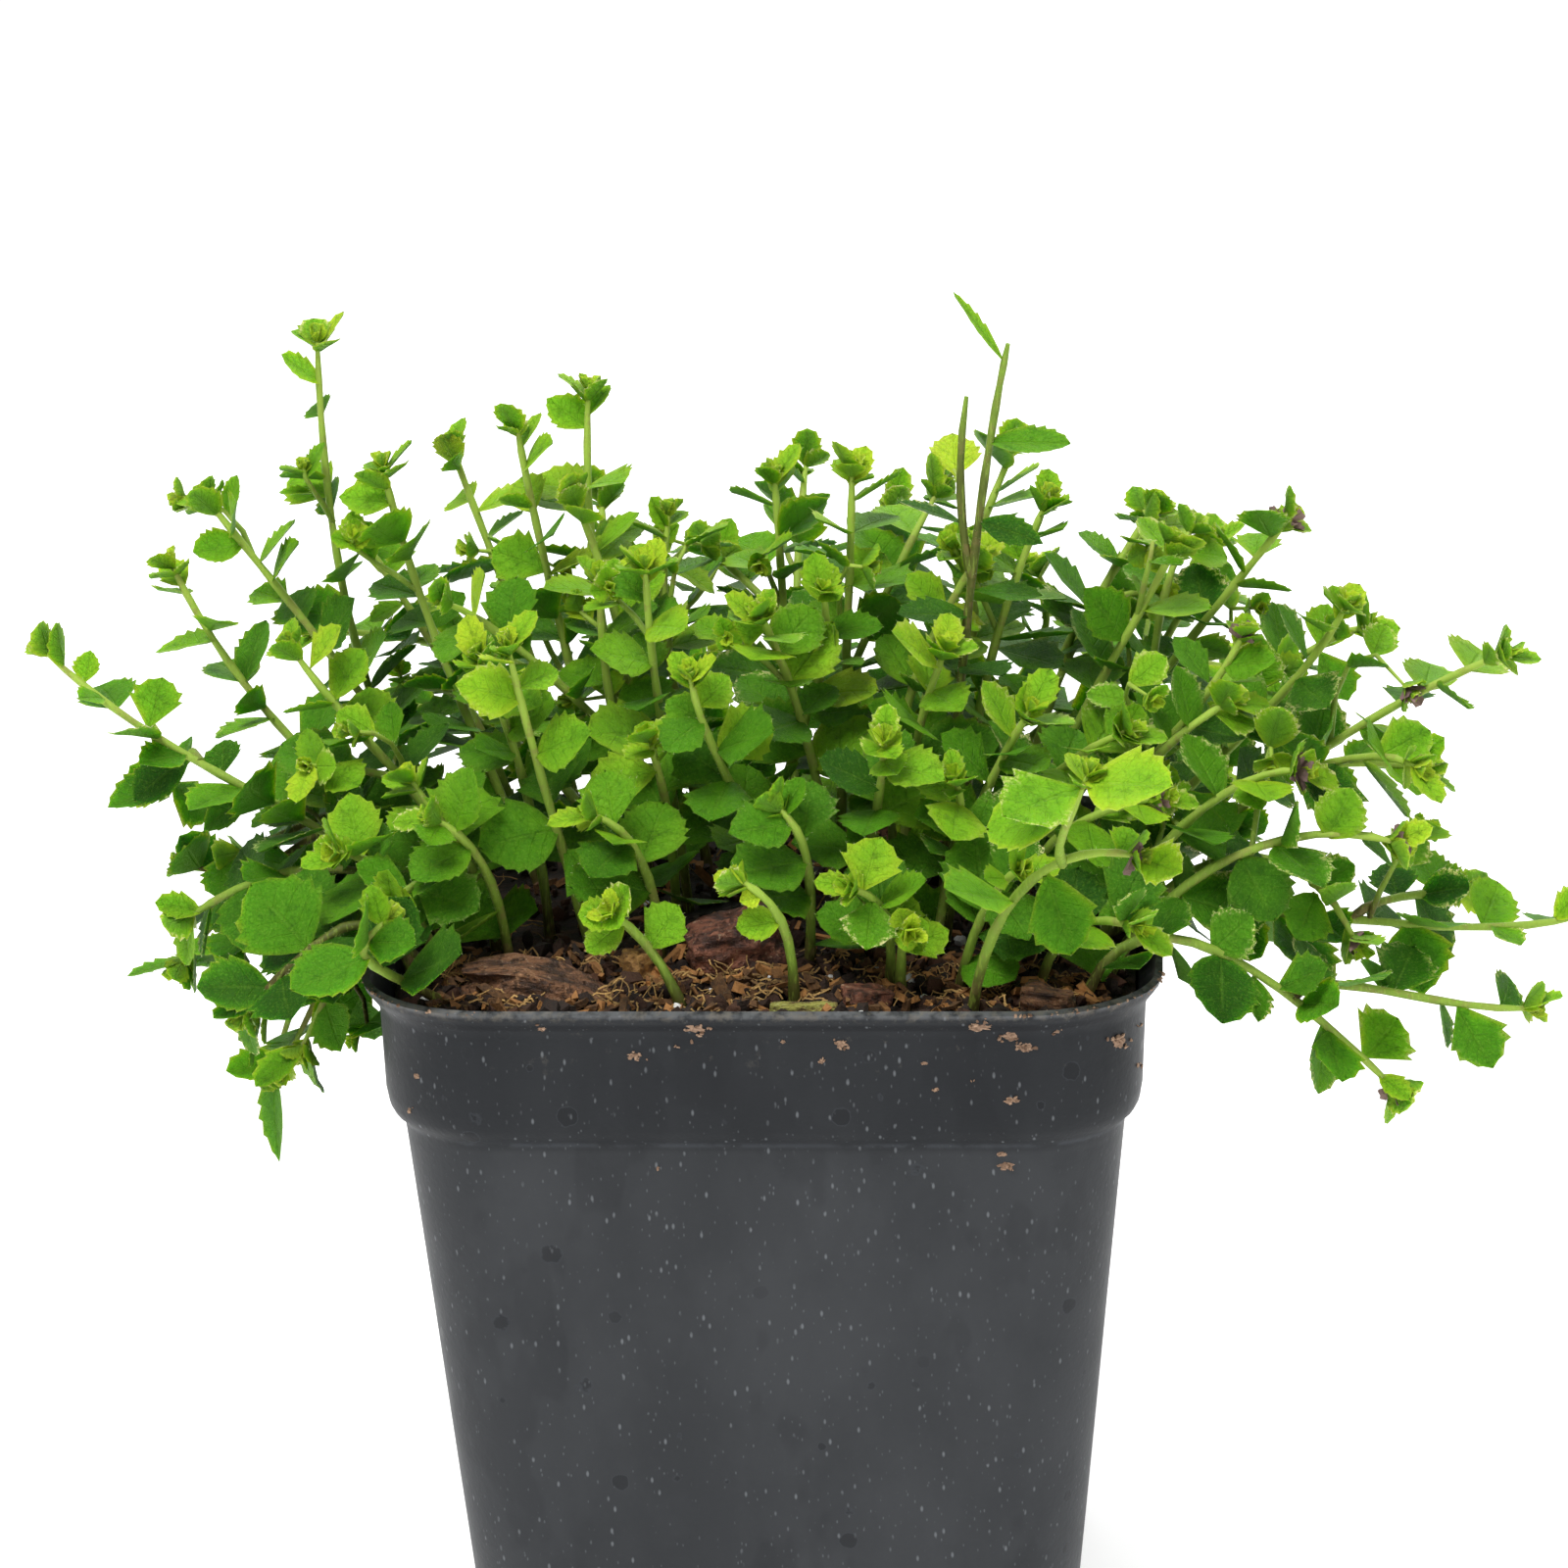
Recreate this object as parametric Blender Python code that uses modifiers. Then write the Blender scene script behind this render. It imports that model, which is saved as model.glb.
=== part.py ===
"""A small square nursery pot with a young blue star creeper growing in it.

Lengths are millimetres until a mesh is made, and metres in the scene. Z is up, the
front is -Y, and the origin is the middle of the pot's flat base. The plant grows by
rule: each leafy stem has its root and its tips given, and finds a clear way between
them, and each leaf turns until it is clear of all that grew before it.
"""

import math
import random

import bmesh
import bpy
from mathutils import Matrix, Vector
from mathutils.bvhtree import BVHTree
from mathutils.geometry import interpolate_bezier

MM = 0.001
UP = Vector((0, 0, 1))

# The pot, as (height, half width, corner radius) up the outside of its wall
POT_WALL = 0.9
POT_RINGS = (
    (0.0, 33.8, 9.5),
    (1.4, 35.0, 10.5),
    (70.9, 41.7, 12.0),
    (72.3, 43.0, 13.0),
    (75.2, 43.7, 13.6),
    (85.2, 44.2, 14.4),
    (86.8, 45.8, 16.0),
    (88.0, 46.1, 16.3),
)
CORNER_STEPS = 4
DRAIN_RADIUS = 3.5
DRAIN_OFFSET = 21.0

# The potting mix, up its side, and the shape of its top
MIX_RINGS = (
    (1.2, 33.2, 8.9),
    (1.9, 33.8, 9.3),
    (71.4, 40.5, 10.8),
    (72.9, 41.9, 11.8),
    (75.4, 42.5, 12.4),
    (84.2, 42.9, 13.0),
)
MIX_TOP_SCALES = (0.91, 0.68, 0.38)
MIX_LEVEL = 85.4
MIX_MOUND = 2.6
MIX_REACH = 43.0

# Pieces of bark: name, middle x and y, lift, length, width, thickness, heading, tilt, bend
BARKS = (
    ("bark_long", -25.0, -31.0, 2.2, 21.0, 8.0, 3.4, -14, 10, 0.022),
    ("bark_red", -3.5, -24.0, 2.6, 13.0, 10.0, 5.0, 18, -12, 0.016),
    ("bark_front", 12.5, -36.6, 1.0, 6.2, 4.6, 3.6, 30, 8, 0.0),
    ("bark_gold", -14.0, -28.0, 1.2, 5.0, 4.2, 4.0, 50, 0, 0.0),
    ("bark_right", 33.0, -37.0, 0.8, 6.6, 4.4, 3.6, -14, 6, 0.0),
    ("bark_back", 12.0, 33.0, 1.6, 13.0, 7.5, 3.8, 65, 8, 0.018),
)
TWIG = ("mossy_twig", 5.6, -39.6, 0.9, 8.6, 1.7, 1.5, 0, 0, 0.0)
SEAT_GAP = 0.35

# Stems and leaves
STEM_BASE, STEM_TIP = 0.78, 0.5
SHOOT_SHARE = 0.85
ROOT_DEPTH = 4.0
CREEP = 45.0
SEGMENT = 12.0
MERGE_ANGLES = (5, 3, 1)
BLADE_DEPTH = 0.66
KEEL_SHARE, KEEL_PLACE = 0.24, 0.47
FOLD = 0.2
LEAF_LENGTH, LEAF_BREADTH = 10.0, 0.94
TIP_LENGTH, TIP_BREADTH = 5.2, 0.72
YOUNG_SHRINK = 0.36
TOOTHED = ((0.19, 0.50), (0.43, 1.0), (0.57, 0.86), (0.79, 0.72))
PLAIN = ((0.36, 1.0), (0.70, 0.66))
FRONT_LIGHT = Vector((0, -0.35, 0))
OUTWARD = 0.55
WOBBLE = 0.3

# Where the lowest leaf and the tuft's leaves are, as shares of a main stem and a side shoot
MAIN_DRESS = (0.34, (0.955, 0.99))
SHOOT_DRESS = (0.45, (0.98,))

# The holes that stems stand in: square, so their corners are further out than their flats
HOLE_GAP = 0.4
HOLE_RADIUS = STEM_BASE + HOLE_GAP + 0.25
HOLE_DEPTH = ROOT_DEPTH + 6.0

# How a stem and a leaf look for a clear place, and the room kept round them
STEM_TRIES = 30
WANDER, WANDER_STEP = 3.5, 0.5
TIP_DRIFT = 0.03
TURNS = (0, 24, -24, 48, -48, 74, -74, 100)
TURN_SHRINK = 0.035
STEM_GUARD = 0.5
LEAF_GUARD = 0.32
SHELL_SIDES = 5
SHELL_ROOM = 1.24

# Leafy stems that are placed one by one: root x, y, then the tip's x, y, z, then how
# far the stem first rises, how far it bows over (below 0, it curves up), and leaves.
# Side shoots follow: where along the stem they start, their tip, bow and leaves.
PLACED = (
    ((19.5, -3), (28.5, -8, 157), 16, -22, 0, ((0.6, (23.5, -4, 150), -10, 0),)),
    ((-37, -8), (-93, 2, 115), 12, -26, 6, ((0.66, (-76, 10, 99), -6, 2),)),
    ((-33, 14), (-56, 22, 152), 4, -42, 5, ()),
    ((24, -38), (43.5, -54, 109), 16, 1, 0, ((0.68, (38, -57, 119), -8, 0),)),
    ((-20, -17), (-28.5, -26, 126), 9, -20, 1, ()),
    ((-35, 6), (-74, 15, 126), 8, -24, 6, ()),
    ((-34, 19), (-70, 20, 133), 12, -10, 4, ()),
    ((36.5, -8.5), (86, -8, 120), 9, -7, 5, ((0.5, (75, -21, 110), 3, 2),)),
    ((33, -17), (95, -11, 89), 15, -4, 5, ((0.62, (82, 2, 88), 2, 2),)),
    ((36, -33), (73, -26, 72.5), 18, 14, 4, ((0.72, (88.5, -20, 80.5), -2, 2),)),
    ((-37, 26), (-65, 18, 60), 20, 30, 5, ()),
    ((-36, 12), (-76, 18, 74), 18, 18, 5, ((0.5, (-67, 9, 91), 0, 2),)),
    ((-37.5, 0), (-67, 5, 80), 16, 14, 5, ((0.4, (-62, -10, 76), 6, 3),)),
    ((-7.5, -37.5), (-16, -42, 99), 7, -3, 2, ()),
    ((4, -35.5), (-1.5, -41, 102.5), 8, -4, 1, ()),
    ((1, -12), (-8, -22, 121), 18, -12, 4, ()),
    ((8, -7), (-0.5, -12, 126), 18, -10, 4, ()),
    ((15.5, -11), (21, -13, 122), 18, -10, 4, ()),
    ((10.5, -20), (14.5, -28, 115), 14, -6, 4, ()),
    ((19, -22), (22.5, -27, 110), 12, -6, 3, ()),
    ((25, -12), (42, -20, 114), 16, -6, 4, ()),
    ((29, -5), (55.5, -10, 123), 16, -10, 4, ()),
    ((34, 1), (67.5, -5, 125), 12, -16, 4, ((0.5, (60, 7, 114), -3, 2),)),
    ((36, -21), (62, -23, 110), 12, 1, 4, ()),
    ((38, -27), (73, -25, 102), 10, 2, 4, ()),
    ((26, 4), (47.5, 4, 130), 18, -10, 3, ()),
    ((28, 12), (61, 10, 132), 16, -14, 4, ((0.5, (50, 16, 130), -6, 2), (0.3, (63, 31, 100), 3, 3))),
    ((21, 7), (32.5, 7, 135), 20, -14, 3, ()),
    ((7, 8), (9.5, 6, 139), 22, -16, 4, ((0.42, (19, 21, 133), -8, 3),)),
    ((1, 22), (-1, 25, 134), 22, -14, 3, ()),
    ((-9, 14), (-13.5, 18, 131), 20, -14, 3, ()),
    ((-16, 19), (-23, 20, 146), 20, -24, 4, ()),
    ((-20, 10), (-31, 13, 143), 20, -22, 4, ()),
    ((-25, 29), (-42, 38, 135), 18, -16, 4, ((0.4, (-59, 34, 113), -2, 3),)),
    ((-28, 8), (-47.5, 14, 138), 14, -24, 4, ()),
    ((-37, -23), (-49, -26, 101.5), 7, -4, 3, ((0.4, (-42, -34, 98), -2, 2),)),
    ((-32, -14), (-41, -19, 108), 12, -8, 4, ()),
    ((-31, -4), (-57, -3, 120), 12, -14, 4, ((0.5, (-54, -12, 108), -2, 2),)),
    ((-15, -1), (-20, -2, 128), 18, -14, 4, ((0.5, (-38, -9, 127), -4, 3),)),
    ((39, 10), (78, 14, 100), 12, 4, 5, ()),
    ((14.5, -31), (11, -38, 100.5), 7, -4, 3, ()),
    ((31, -29.5), (43, -41, 97), 12, 1, 3, ()),
)

# Leaves that are placed one by one, before the others, by number of the leafy stem:
# which of its stems, where along it, the leaf's direction, upper face, length and breadth
FEATURED = {
    1: (
        (0, 0.965, (-6, -1.5, 9), (0.8, -0.3, 0.5), 11.0, 0.34),
        (0, 0.82, (9, -1.5, 0.4), (-0.1, -0.5, 1), 10.0, 0.66),
        (1, 0.4, (-8, -1, 3.6), (0.35, -0.2, 1), 8.6, 0.5),
        (0, 0.69, (7.4, -3, -1.6), (0.2, -0.8, 0.7), 8.6, 0.62),
        (0, 0.58, (8.4, -1, -0.4), (0, -0.3, 1), 8.8, 0.7),
        (0, 0.54, (-8, -3, 1), (0, -0.4, 1), 9.0, 0.8),
        (0, 0.46, (5, -8, 1), (0, -0.2, 1), 9.4, 0.9),
    ),
    4: (
        (0, 0.6, (3.4, -3, -8), (0.1, -1, 0.5), 9.4, 0.84),
        (0, 0.985, (4.5, -3, -0.5), (0.3, -0.9, 0.6), 6.4, 0.95),
        (1, 0.97, (7.5, -4, 0.4), (0.1, -0.55, 0.8), 10.6, 0.95),
        (1, 0.93, (-7, -5, -1.5), (-0.1, -0.6, 0.8), 10.2, 0.95),
        (1, 0.8, (-9, 3, -2.5), (-0.2, -0.6, 0.8), 10.8, 0.9),
        (0, 0.44, (-7, -6, 3), (-0.1, -0.5, 0.9), 10.4, 0.85),
    ),
    5: (
        (0, 0.5, (-8, -3.5, -0.8), (-0.1, -0.8, 0.6), 9.6, 0.98),
        (0, 0.44, (6.5, -4, -4.5), (0.2, -0.9, 0.4), 8.8, 0.9),
        (0, 0.72, (6.8, -3.5, 3.4), (0.1, -0.8, 0.7), 8.6, 0.86),
        (0, 0.86, (-7.4, -3, 3.4), (0, -0.8, 0.6), 8.2, 0.84),
    ),
    11: ((0, 0.985, (-0.6, -1.5, -9.5), (-0.8, -0.6, 0.1), 11.0, 0.5),),
}

# Leafy stems at the back, by rule: they fan out over the rear and the rear corners
BACK_COUNT = 8
BACK_FROM, BACK_TO = 24, 140
BACK_ROOT = 31.0
BACK_REACH = (26.0, 48.0)
BACK_HEIGHT = (96.0, 134.0)
BACK_LEAVES = 4


def soil_height(x, y):
    """How high the potting mix stands at a point: a low mound with lumps on it."""
    mound = MIX_MOUND * max(0.0, 1 - (x * x + y * y) / MIX_REACH**2)
    lumps = 0.55 * math.sin(0.41 * x + 0.9) * math.cos(0.37 * y - 0.4)
    crumbs = 0.4 * math.sin(0.93 * x - 0.71 * y) + 0.3 * math.cos(1.1 * y + 0.5 * x)
    return MIX_LEVEL + mound + lumps + crumbs


def rounded_square(half, radius, z):
    """The points of a square with round corners, anticlockwise seen from above."""
    points = []
    for corner in range(4):
        middle = math.radians(45 + 90 * corner)
        centre = Vector((math.cos(middle), math.sin(middle))) * (half - radius) * math.sqrt(2)
        for step in range(CORNER_STEPS + 1):
            turn = math.radians(90 * corner + 90 * step / CORNER_STEPS)
            points.append(
                Vector((centre.x + radius * math.cos(turn), centre.y + radius * math.sin(turn), z))
            )
    return points


def loft(rings):
    """A mesh skin through rings of equal length, with the first one filled."""
    bm = bmesh.new()
    loops = [[bm.verts.new(p) for p in ring] for ring in rings]
    bm.faces.new(reversed(loops[0]))
    for low, high in zip(loops, loops[1:]):
        for i in range(len(low)):
            j = (i + 1) % len(low)
            bm.faces.new((low[i], low[j], high[j], high[i]))
    return bm, loops[-1]


def finished(bm, name, material):
    """A mesh object from a bmesh in millimetres, which is freed."""
    bmesh.ops.scale(bm, vec=(MM, MM, MM), verts=bm.verts)
    mesh = bpy.data.meshes.new(name)
    bm.to_mesh(mesh)
    bm.free()
    obj = bpy.data.objects.new(name, mesh)
    if material:
        mesh.materials.append(material)
    return obj


def plain_finish(name, colour, roughness):
    material = bpy.data.materials.new(name)
    material.use_nodes = True
    shader = material.node_tree.nodes["Principled BSDF"]
    shader.inputs["Base Color"].default_value = (*colour, 1)
    shader.inputs["Roughness"].default_value = roughness
    shader.inputs["Metallic"].default_value = 0
    material.diffuse_color = (*colour, 1)
    return material


def helper(obj, collection):
    """Puts a cutter or a guide in its collection, out of the render."""
    obj.hide_render = True
    obj.display_type = "WIRE"
    collection.objects.link(obj)


def keep_modified(obj):
    """Applies an object's modifiers to its mesh."""
    graph = bpy.context.evaluated_depsgraph_get()
    graph.update()
    mesh = bpy.data.meshes.new_from_object(obj.evaluated_get(graph))
    obj.modifiers.clear()
    obj.data = mesh


def crosses_itself(bm):
    """Whether two faces that share no corner pass through each other."""
    tree = BVHTree.FromBMesh(bm)
    bm.faces.ensure_lookup_table()
    for a, b in tree.overlap(tree):
        if a < b and not set(bm.faces[a].verts) & set(bm.faces[b].verts):
            return True
    return False


def merge_flat(obj):
    """Merges nearly flat faces, as far as the solid stays closed and sound."""
    for angle in MERGE_ANGLES:
        bm = bmesh.new()
        bm.from_mesh(obj.data)
        bmesh.ops.dissolve_limit(
            bm, angle_limit=math.radians(angle), verts=bm.verts, edges=bm.edges
        )
        bmesh.ops.triangulate(bm, faces=bm.faces)
        sound = all(edge.is_manifold for edge in bm.edges) and not crosses_itself(bm)
        if sound:
            bm.to_mesh(obj.data)
        bm.free()
        if sound:
            return


def drop(objects):
    for obj in list(objects):
        bpy.data.objects.remove(obj)


def make_pot(parts, cutters, material):
    bm, _ = loft([rounded_square(half, radius, z) for z, half, radius in POT_RINGS])
    pot = finished(bm, "pot", material)
    parts.objects.link(pot)
    wall = pot.modifiers.new("Wall", "SOLIDIFY")
    wall.thickness = POT_WALL * MM
    wall.offset = -1
    wall.use_even_offset = True
    for sx in (-1, 1):
        for sy in (-1, 1):
            hole = bmesh.new()
            bmesh.ops.create_cone(
                hole, cap_ends=True, segments=12, radius1=DRAIN_RADIUS, radius2=DRAIN_RADIUS, depth=6
            )
            bmesh.ops.translate(hole, verts=hole.verts, vec=(sx * DRAIN_OFFSET, sy * DRAIN_OFFSET, 0))
            helper(finished(hole, "drain_cutter", None), cutters)
    drains = pot.modifiers.new("Drains", "BOOLEAN")
    drains.operation = "DIFFERENCE"
    drains.operand_type = "COLLECTION"
    drains.collection = cutters
    keep_modified(pot)
    drop(cutters.objects)
    pot.data.shade_smooth()
    pot.data.set_sharp_from_angle(angle=math.radians(40))
    return pot


def make_mix(parts, material):
    """The potting mix: it fills the pot, with a rough top in rings towards the middle."""
    rings = [rounded_square(half, radius, z) for z, half, radius in MIX_RINGS]
    edge = rings[-1]
    for scale in MIX_TOP_SCALES:
        rings.append(
            [Vector((p.x * scale, p.y * scale, soil_height(p.x * scale, p.y * scale))) for p in edge]
        )
    bm, last = loft(rings)
    top = bm.verts.new((0, 0, soil_height(0, 0)))
    for i, corner in enumerate(last):
        bm.faces.new((corner, last[(i + 1) % len(last)], top))
    bmesh.ops.triangulate(bm, faces=bm.faces)
    mix = finished(bm, "potting_mix", material)
    parts.objects.link(mix)
    return mix


def bark_mesh(spec, grown):
    """A rough chip: a cut-up box with uneven corners, bent, turned and set in the mix."""
    name, x, y, lift, length, width, thickness, heading, tilt, bend = spec
    draw = random.Random(name)
    bm = bmesh.new()
    bmesh.ops.create_cube(bm, size=1)
    bmesh.ops.subdivide_edges(bm, edges=bm.edges, cuts=1, use_grid_fill=True)
    for vert in bm.verts:
        shrink = 1 - 0.2 * (abs(vert.co.x) + abs(vert.co.y)) * draw.uniform(0.5, 1.5)
        vert.co = Vector(
            (
                vert.co.x * (length + grown) * shrink,
                vert.co.y * (width + grown) * shrink,
                vert.co.z * (thickness + grown) * draw.uniform(0.85, 1.1),
            )
        )
        vert.co.z -= bend * vert.co.x**2
    turn = Matrix.Rotation(math.radians(heading), 4, "Z") @ Matrix.Rotation(math.radians(tilt), 4, "Y")
    place = Matrix.Translation((x, y, soil_height(x, y) + lift))
    bmesh.ops.transform(bm, matrix=place @ turn, verts=bm.verts)
    bmesh.ops.triangulate(bm, faces=bm.faces)
    return bm


class Space:
    """What has its place already, so that the next piece can keep clear of it."""

    def __init__(self):
        self.taken = []

    @staticmethod
    def _ball(points):
        centre = sum(points, Vector()) / len(points)
        return centre, max((p - centre).length for p in points)

    def add(self, points, faces, owner):
        self.taken.append((*self._ball(points), BVHTree.FromPolygons(points, faces), owner))

    def clear(self, points, faces, skip=()):
        centre, reach = self._ball(points)
        tree = BVHTree.FromPolygons(points, faces)
        for other, size, taken, owner in self.taken:
            if owner in skip or (other - centre).length > size + reach:
                continue
            if tree.overlap(taken):
                return False
        return True


def across(direction):
    """Two unit vectors square to a direction and to each other."""
    side = direction.cross(Vector((1, 0, 0)) if abs(direction.x) < 0.8 else Vector((0, 1, 0)))
    side.normalize()
    return side, direction.cross(side).normalized()


def tube_shell(route, radii, grown):
    """A five-sided skin round a stem, a little larger than it, for testing what is clear."""
    points, faces, sides = [], [], SHELL_SIDES
    for i, centre in enumerate(route):
        along = (route[min(i + 1, len(route) - 1)] - route[max(i - 1, 0)]).normalized()
        u, v = across(along)
        for k in range(sides):
            a = 2 * math.pi * k / sides
            reach = radii[i] * SHELL_ROOM + grown
            points.append(centre + (u * math.cos(a) + v * math.sin(a)) * reach)
    for i in range(len(route) - 1):
        for k in range(sides):
            a, b = i * sides + k, i * sides + (k + 1) % sides
            faces.append((a, b, b + sides, a + sides))
    faces.append(tuple(range(sides)))
    faces.append(tuple(range(len(points) - sides, len(points))))
    return points, faces


def blade_outline(frame, base, length, width, teeth, grown=0.0):
    """The margin of a leaf: base, one side, tip and the other side, folded up along the rib."""
    along, side, up = frame
    left = [(a * length, b * width / 2) for a, b in teeth]
    flat = [(-0.2 - grown, 0)] + left + [(length + grown, 0)] + [(a, -b) for a, b in reversed(left)]
    points = []
    for a, b in flat:
        b += grown * (b > 0) - grown * (b < 0)
        points.append(base + along * a + side * b + up * (FOLD * abs(b)))
    return points


def blade_shape(frame, base, length, width, teeth):
    """A closed blade: two flat halves above, and a keel below with its low points.

    A toothed blade has two low points, side by side, and the small plain one has one.
    """
    along, side, up = frame
    points = blade_outline(frame, base, length, width, teeth)
    tip = len(teeth) + 1
    left = list(range(0, tip + 1))
    right = [0] + list(range(len(points) - 1, tip - 1, -1))
    low_left = low_right = len(points)
    keel = 0.0 if teeth is PLAIN else width * KEEL_SHARE
    points.append(base + along * (length * KEEL_PLACE) + side * keel - up * BLADE_DEPTH)
    faces = [tuple(reversed(left)), tuple(right)]
    if keel:
        low_right = len(points)
        points.append(base + along * (length * KEEL_PLACE) - side * keel - up * BLADE_DEPTH)
        faces += [(0, low_left, low_right), (tip, low_right, low_left)]
    faces += [(a, b, low_left) for a, b in zip(left, left[1:])]
    faces += [(b, a, low_right) for a, b in zip(right, right[1:])]
    return points, faces


def blade_guard(frame, base, length, width, teeth):
    """A thicker, wider slab round a blade, for testing what is clear of it."""
    up = frame[2]
    ring = blade_outline(frame, base, length, width, teeth, LEAF_GUARD)
    high = [p + up * LEAF_GUARD for p in ring]
    low = [p - up * (LEAF_GUARD + FOLD * abs((p - base).dot(frame[1])) + BLADE_DEPTH) for p in ring]
    # The base lies in the stem that the leaf grows from
    start = frame[0] * (length * 0.12)
    high[0], low[0] = high[0] + start, low[0] + start
    count = len(ring)
    tip = len(teeth) + 1
    left, right = list(range(tip + 1)), [0] + list(range(count - 1, tip - 1, -1))
    faces = [tuple(left), tuple(right), tuple(i + count for i in left), tuple(i + count for i in right)]
    faces += [(i, (i + 1) % count, (i + 1) % count + count, i + count) for i in range(count)]
    return high + low, faces


def stem_route(root, tip, rise, bow, sway):
    """Points along a stem from its buried root to its tip.

    With a bow above 0 it leaves upwards and arches over. Below 0 it creeps outwards
    first, and then turns up to its tip.
    """
    out = Vector((tip.x - root.x, tip.y - root.y, 0))
    creep = min(1.0, max(0.0, -bow / CREEP))
    handle_root = root + UP * (rise + ROOT_DEPTH) + out * (0.12 + 0.45 * creep) + sway * 0.5
    handle_tip = tip - out * (0.38 - 0.34 * creep) + UP * bow + sway
    steps = max(4, round((tip - root).length / SEGMENT))
    return interpolate_bezier(root, handle_root, handle_tip, tip, steps + 1)


def tapered(route, base, tip):
    return [base + (tip - base) * i / (len(route) - 1) for i in range(len(route))]


def point_at(route, share):
    """The point and direction at a share of the way along a route."""
    place = min(share * (len(route) - 1), len(route) - 1.001)
    i = int(place)
    step = route[i + 1] - route[i]
    return route[i] + step * (place - i), step.normalized()


def facing(way, face):
    """A leaf's own directions: along it, to its left and up from its upper face."""
    way = way.normalized()
    up = face - way * face.dot(way)
    up.normalize()
    return way, up.cross(way), up


def leaf_frame(along, turn, lean, base, wobble):
    """Which way a leaf points, its side and its upper face, turned round its stem."""
    away = Vector((base.x, base.y, 0)) / max(40.0, math.hypot(base.x, base.y))
    face = (UP + away * OUTWARD + FRONT_LIGHT + wobble).normalized()
    side = along.cross(face)
    if side.length < 0.25:
        side = along.cross(Vector((0, -1, 0)))
    side.normalize()
    side = Matrix.Rotation(math.radians(turn), 3, along) @ side
    point = (side * math.sin(math.radians(lean)) + along * math.cos(math.radians(lean))).normalized()
    if (face - point * face.dot(point)).length < 0.2:
        face = along
    return facing(point, face)


class Plant:
    """Grows leafy stems one after another, each clear of the rest."""

    def __init__(self, space):
        self.space = space
        self.stems = []

    def stem(self, owner, root, tip, rise, bow, draw, thick, skip):
        """Finds a clear route, bending the stem aside as far as it needs, or gives None."""
        for attempt in range(STEM_TRIES):
            reach = WANDER + WANDER_STEP * attempt
            sway = Vector((draw.uniform(-1, 1), draw.uniform(-1, 1), draw.uniform(-0.4, 0.8))) * reach
            end = tip + sway * TIP_DRIFT * attempt
            route = stem_route(root, end, rise, bow, sway)
            radii = tapered(route, *thick)
            tested = slice(1, None) if skip else slice(0, None)
            shell = tube_shell(route[tested], radii[tested], STEM_GUARD)
            if self.space.clear(*shell, skip={*skip, "potting_mix"}):
                self.space.add(*tube_shell(route, radii, 0), (owner, len(self.stems)))
                return route, radii
        return None

    def set_leaf(self, owner, stem_key, base, frame, length, breadth, teeth):
        """Takes the place of one leaf if it is clear."""
        shape = (frame, base, length, length * breadth, teeth)
        if self.space.clear(*blade_guard(*shape), skip={stem_key}):
            self.space.add(*blade_shape(*shape), owner)
            return shape
        return None

    def leaf(self, owner, stem_key, route, share, side_turn, lean, length, breadth, teeth, draw):
        """Puts a leaf on a stem, turned until it is clear, or leaves it out."""
        base, along = point_at(route, share)
        wobble = Vector((draw.uniform(-1, 1), draw.uniform(-1, 1), 0)) * WOBBLE
        for i, turn in enumerate(TURNS):
            size = length * (1 - TURN_SHRINK * i)
            frame = leaf_frame(along, side_turn + turn, lean, base, wobble)
            shape = self.set_leaf(owner, stem_key, base, frame, size, breadth, teeth)
            if shape:
                return shape
        return None


def grow(space):
    """Every leafy stem, as its name, its tubes and its leaves."""
    plant = Plant(space)
    specs = [*PLACED, *back_specs()]
    grown = []
    for number, (root, tip, rise, bow, leaves, shoots) in enumerate(specs, 1):
        name = f"leafy_stem_{number:02d}"
        draw = random.Random(number)
        start = Vector((*root, soil_height(*root) - ROOT_DEPTH))
        found = plant.stem(name, start, Vector(tip), rise, bow, draw, (STEM_BASE, STEM_TIP), ())
        if not found:
            print("no clear way for", name)
            continue
        tubes = [(*found, (name, len(plant.stems)), leaves, *MAIN_DRESS)]
        plant.stems.append(name)
        for share, shoot_tip, shoot_bow, shoot_leaves in shoots:
            fork, _ = point_at(found[0], share)
            side = plant.stem(
                name, fork, Vector(shoot_tip), 3 - ROOT_DEPTH, shoot_bow, draw,
                (STEM_BASE * SHOOT_SHARE, STEM_TIP), {tubes[0][2]},
            )
            if not side:
                print("no clear way for a side shoot of", name)
                continue
            tubes.append((*side, (name, len(plant.stems)), shoot_leaves, *SHOOT_DRESS))
            plant.stems.append(name)
        grown.append((name, tubes, []))
    for name, tubes, leaves in grown:
        for which, share, way, face, length, breadth in FEATURED.get(int(name[-2:]), ()):
            route, key = tubes[which][0], tubes[which][2]
            frame = facing(Vector(way), Vector(face))
            base = point_at(route, share)[0]
            leaf = plant.set_leaf(name, key, base, frame, length, breadth, TOOTHED)
            if leaf:
                leaves.append(leaf)
            else:
                print("no room for a placed leaf of", name, share)
    for number, (name, tubes, leaves) in enumerate(grown):
        draw = random.Random(500 + number)
        for route, _, key, count, first, tufts in tubes:
            leaves += dress(plant, name, key, route, count, first, tufts, draw)
    print("leaves:", sum(len(leaves) for _, _, leaves in grown))
    return grown


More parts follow.
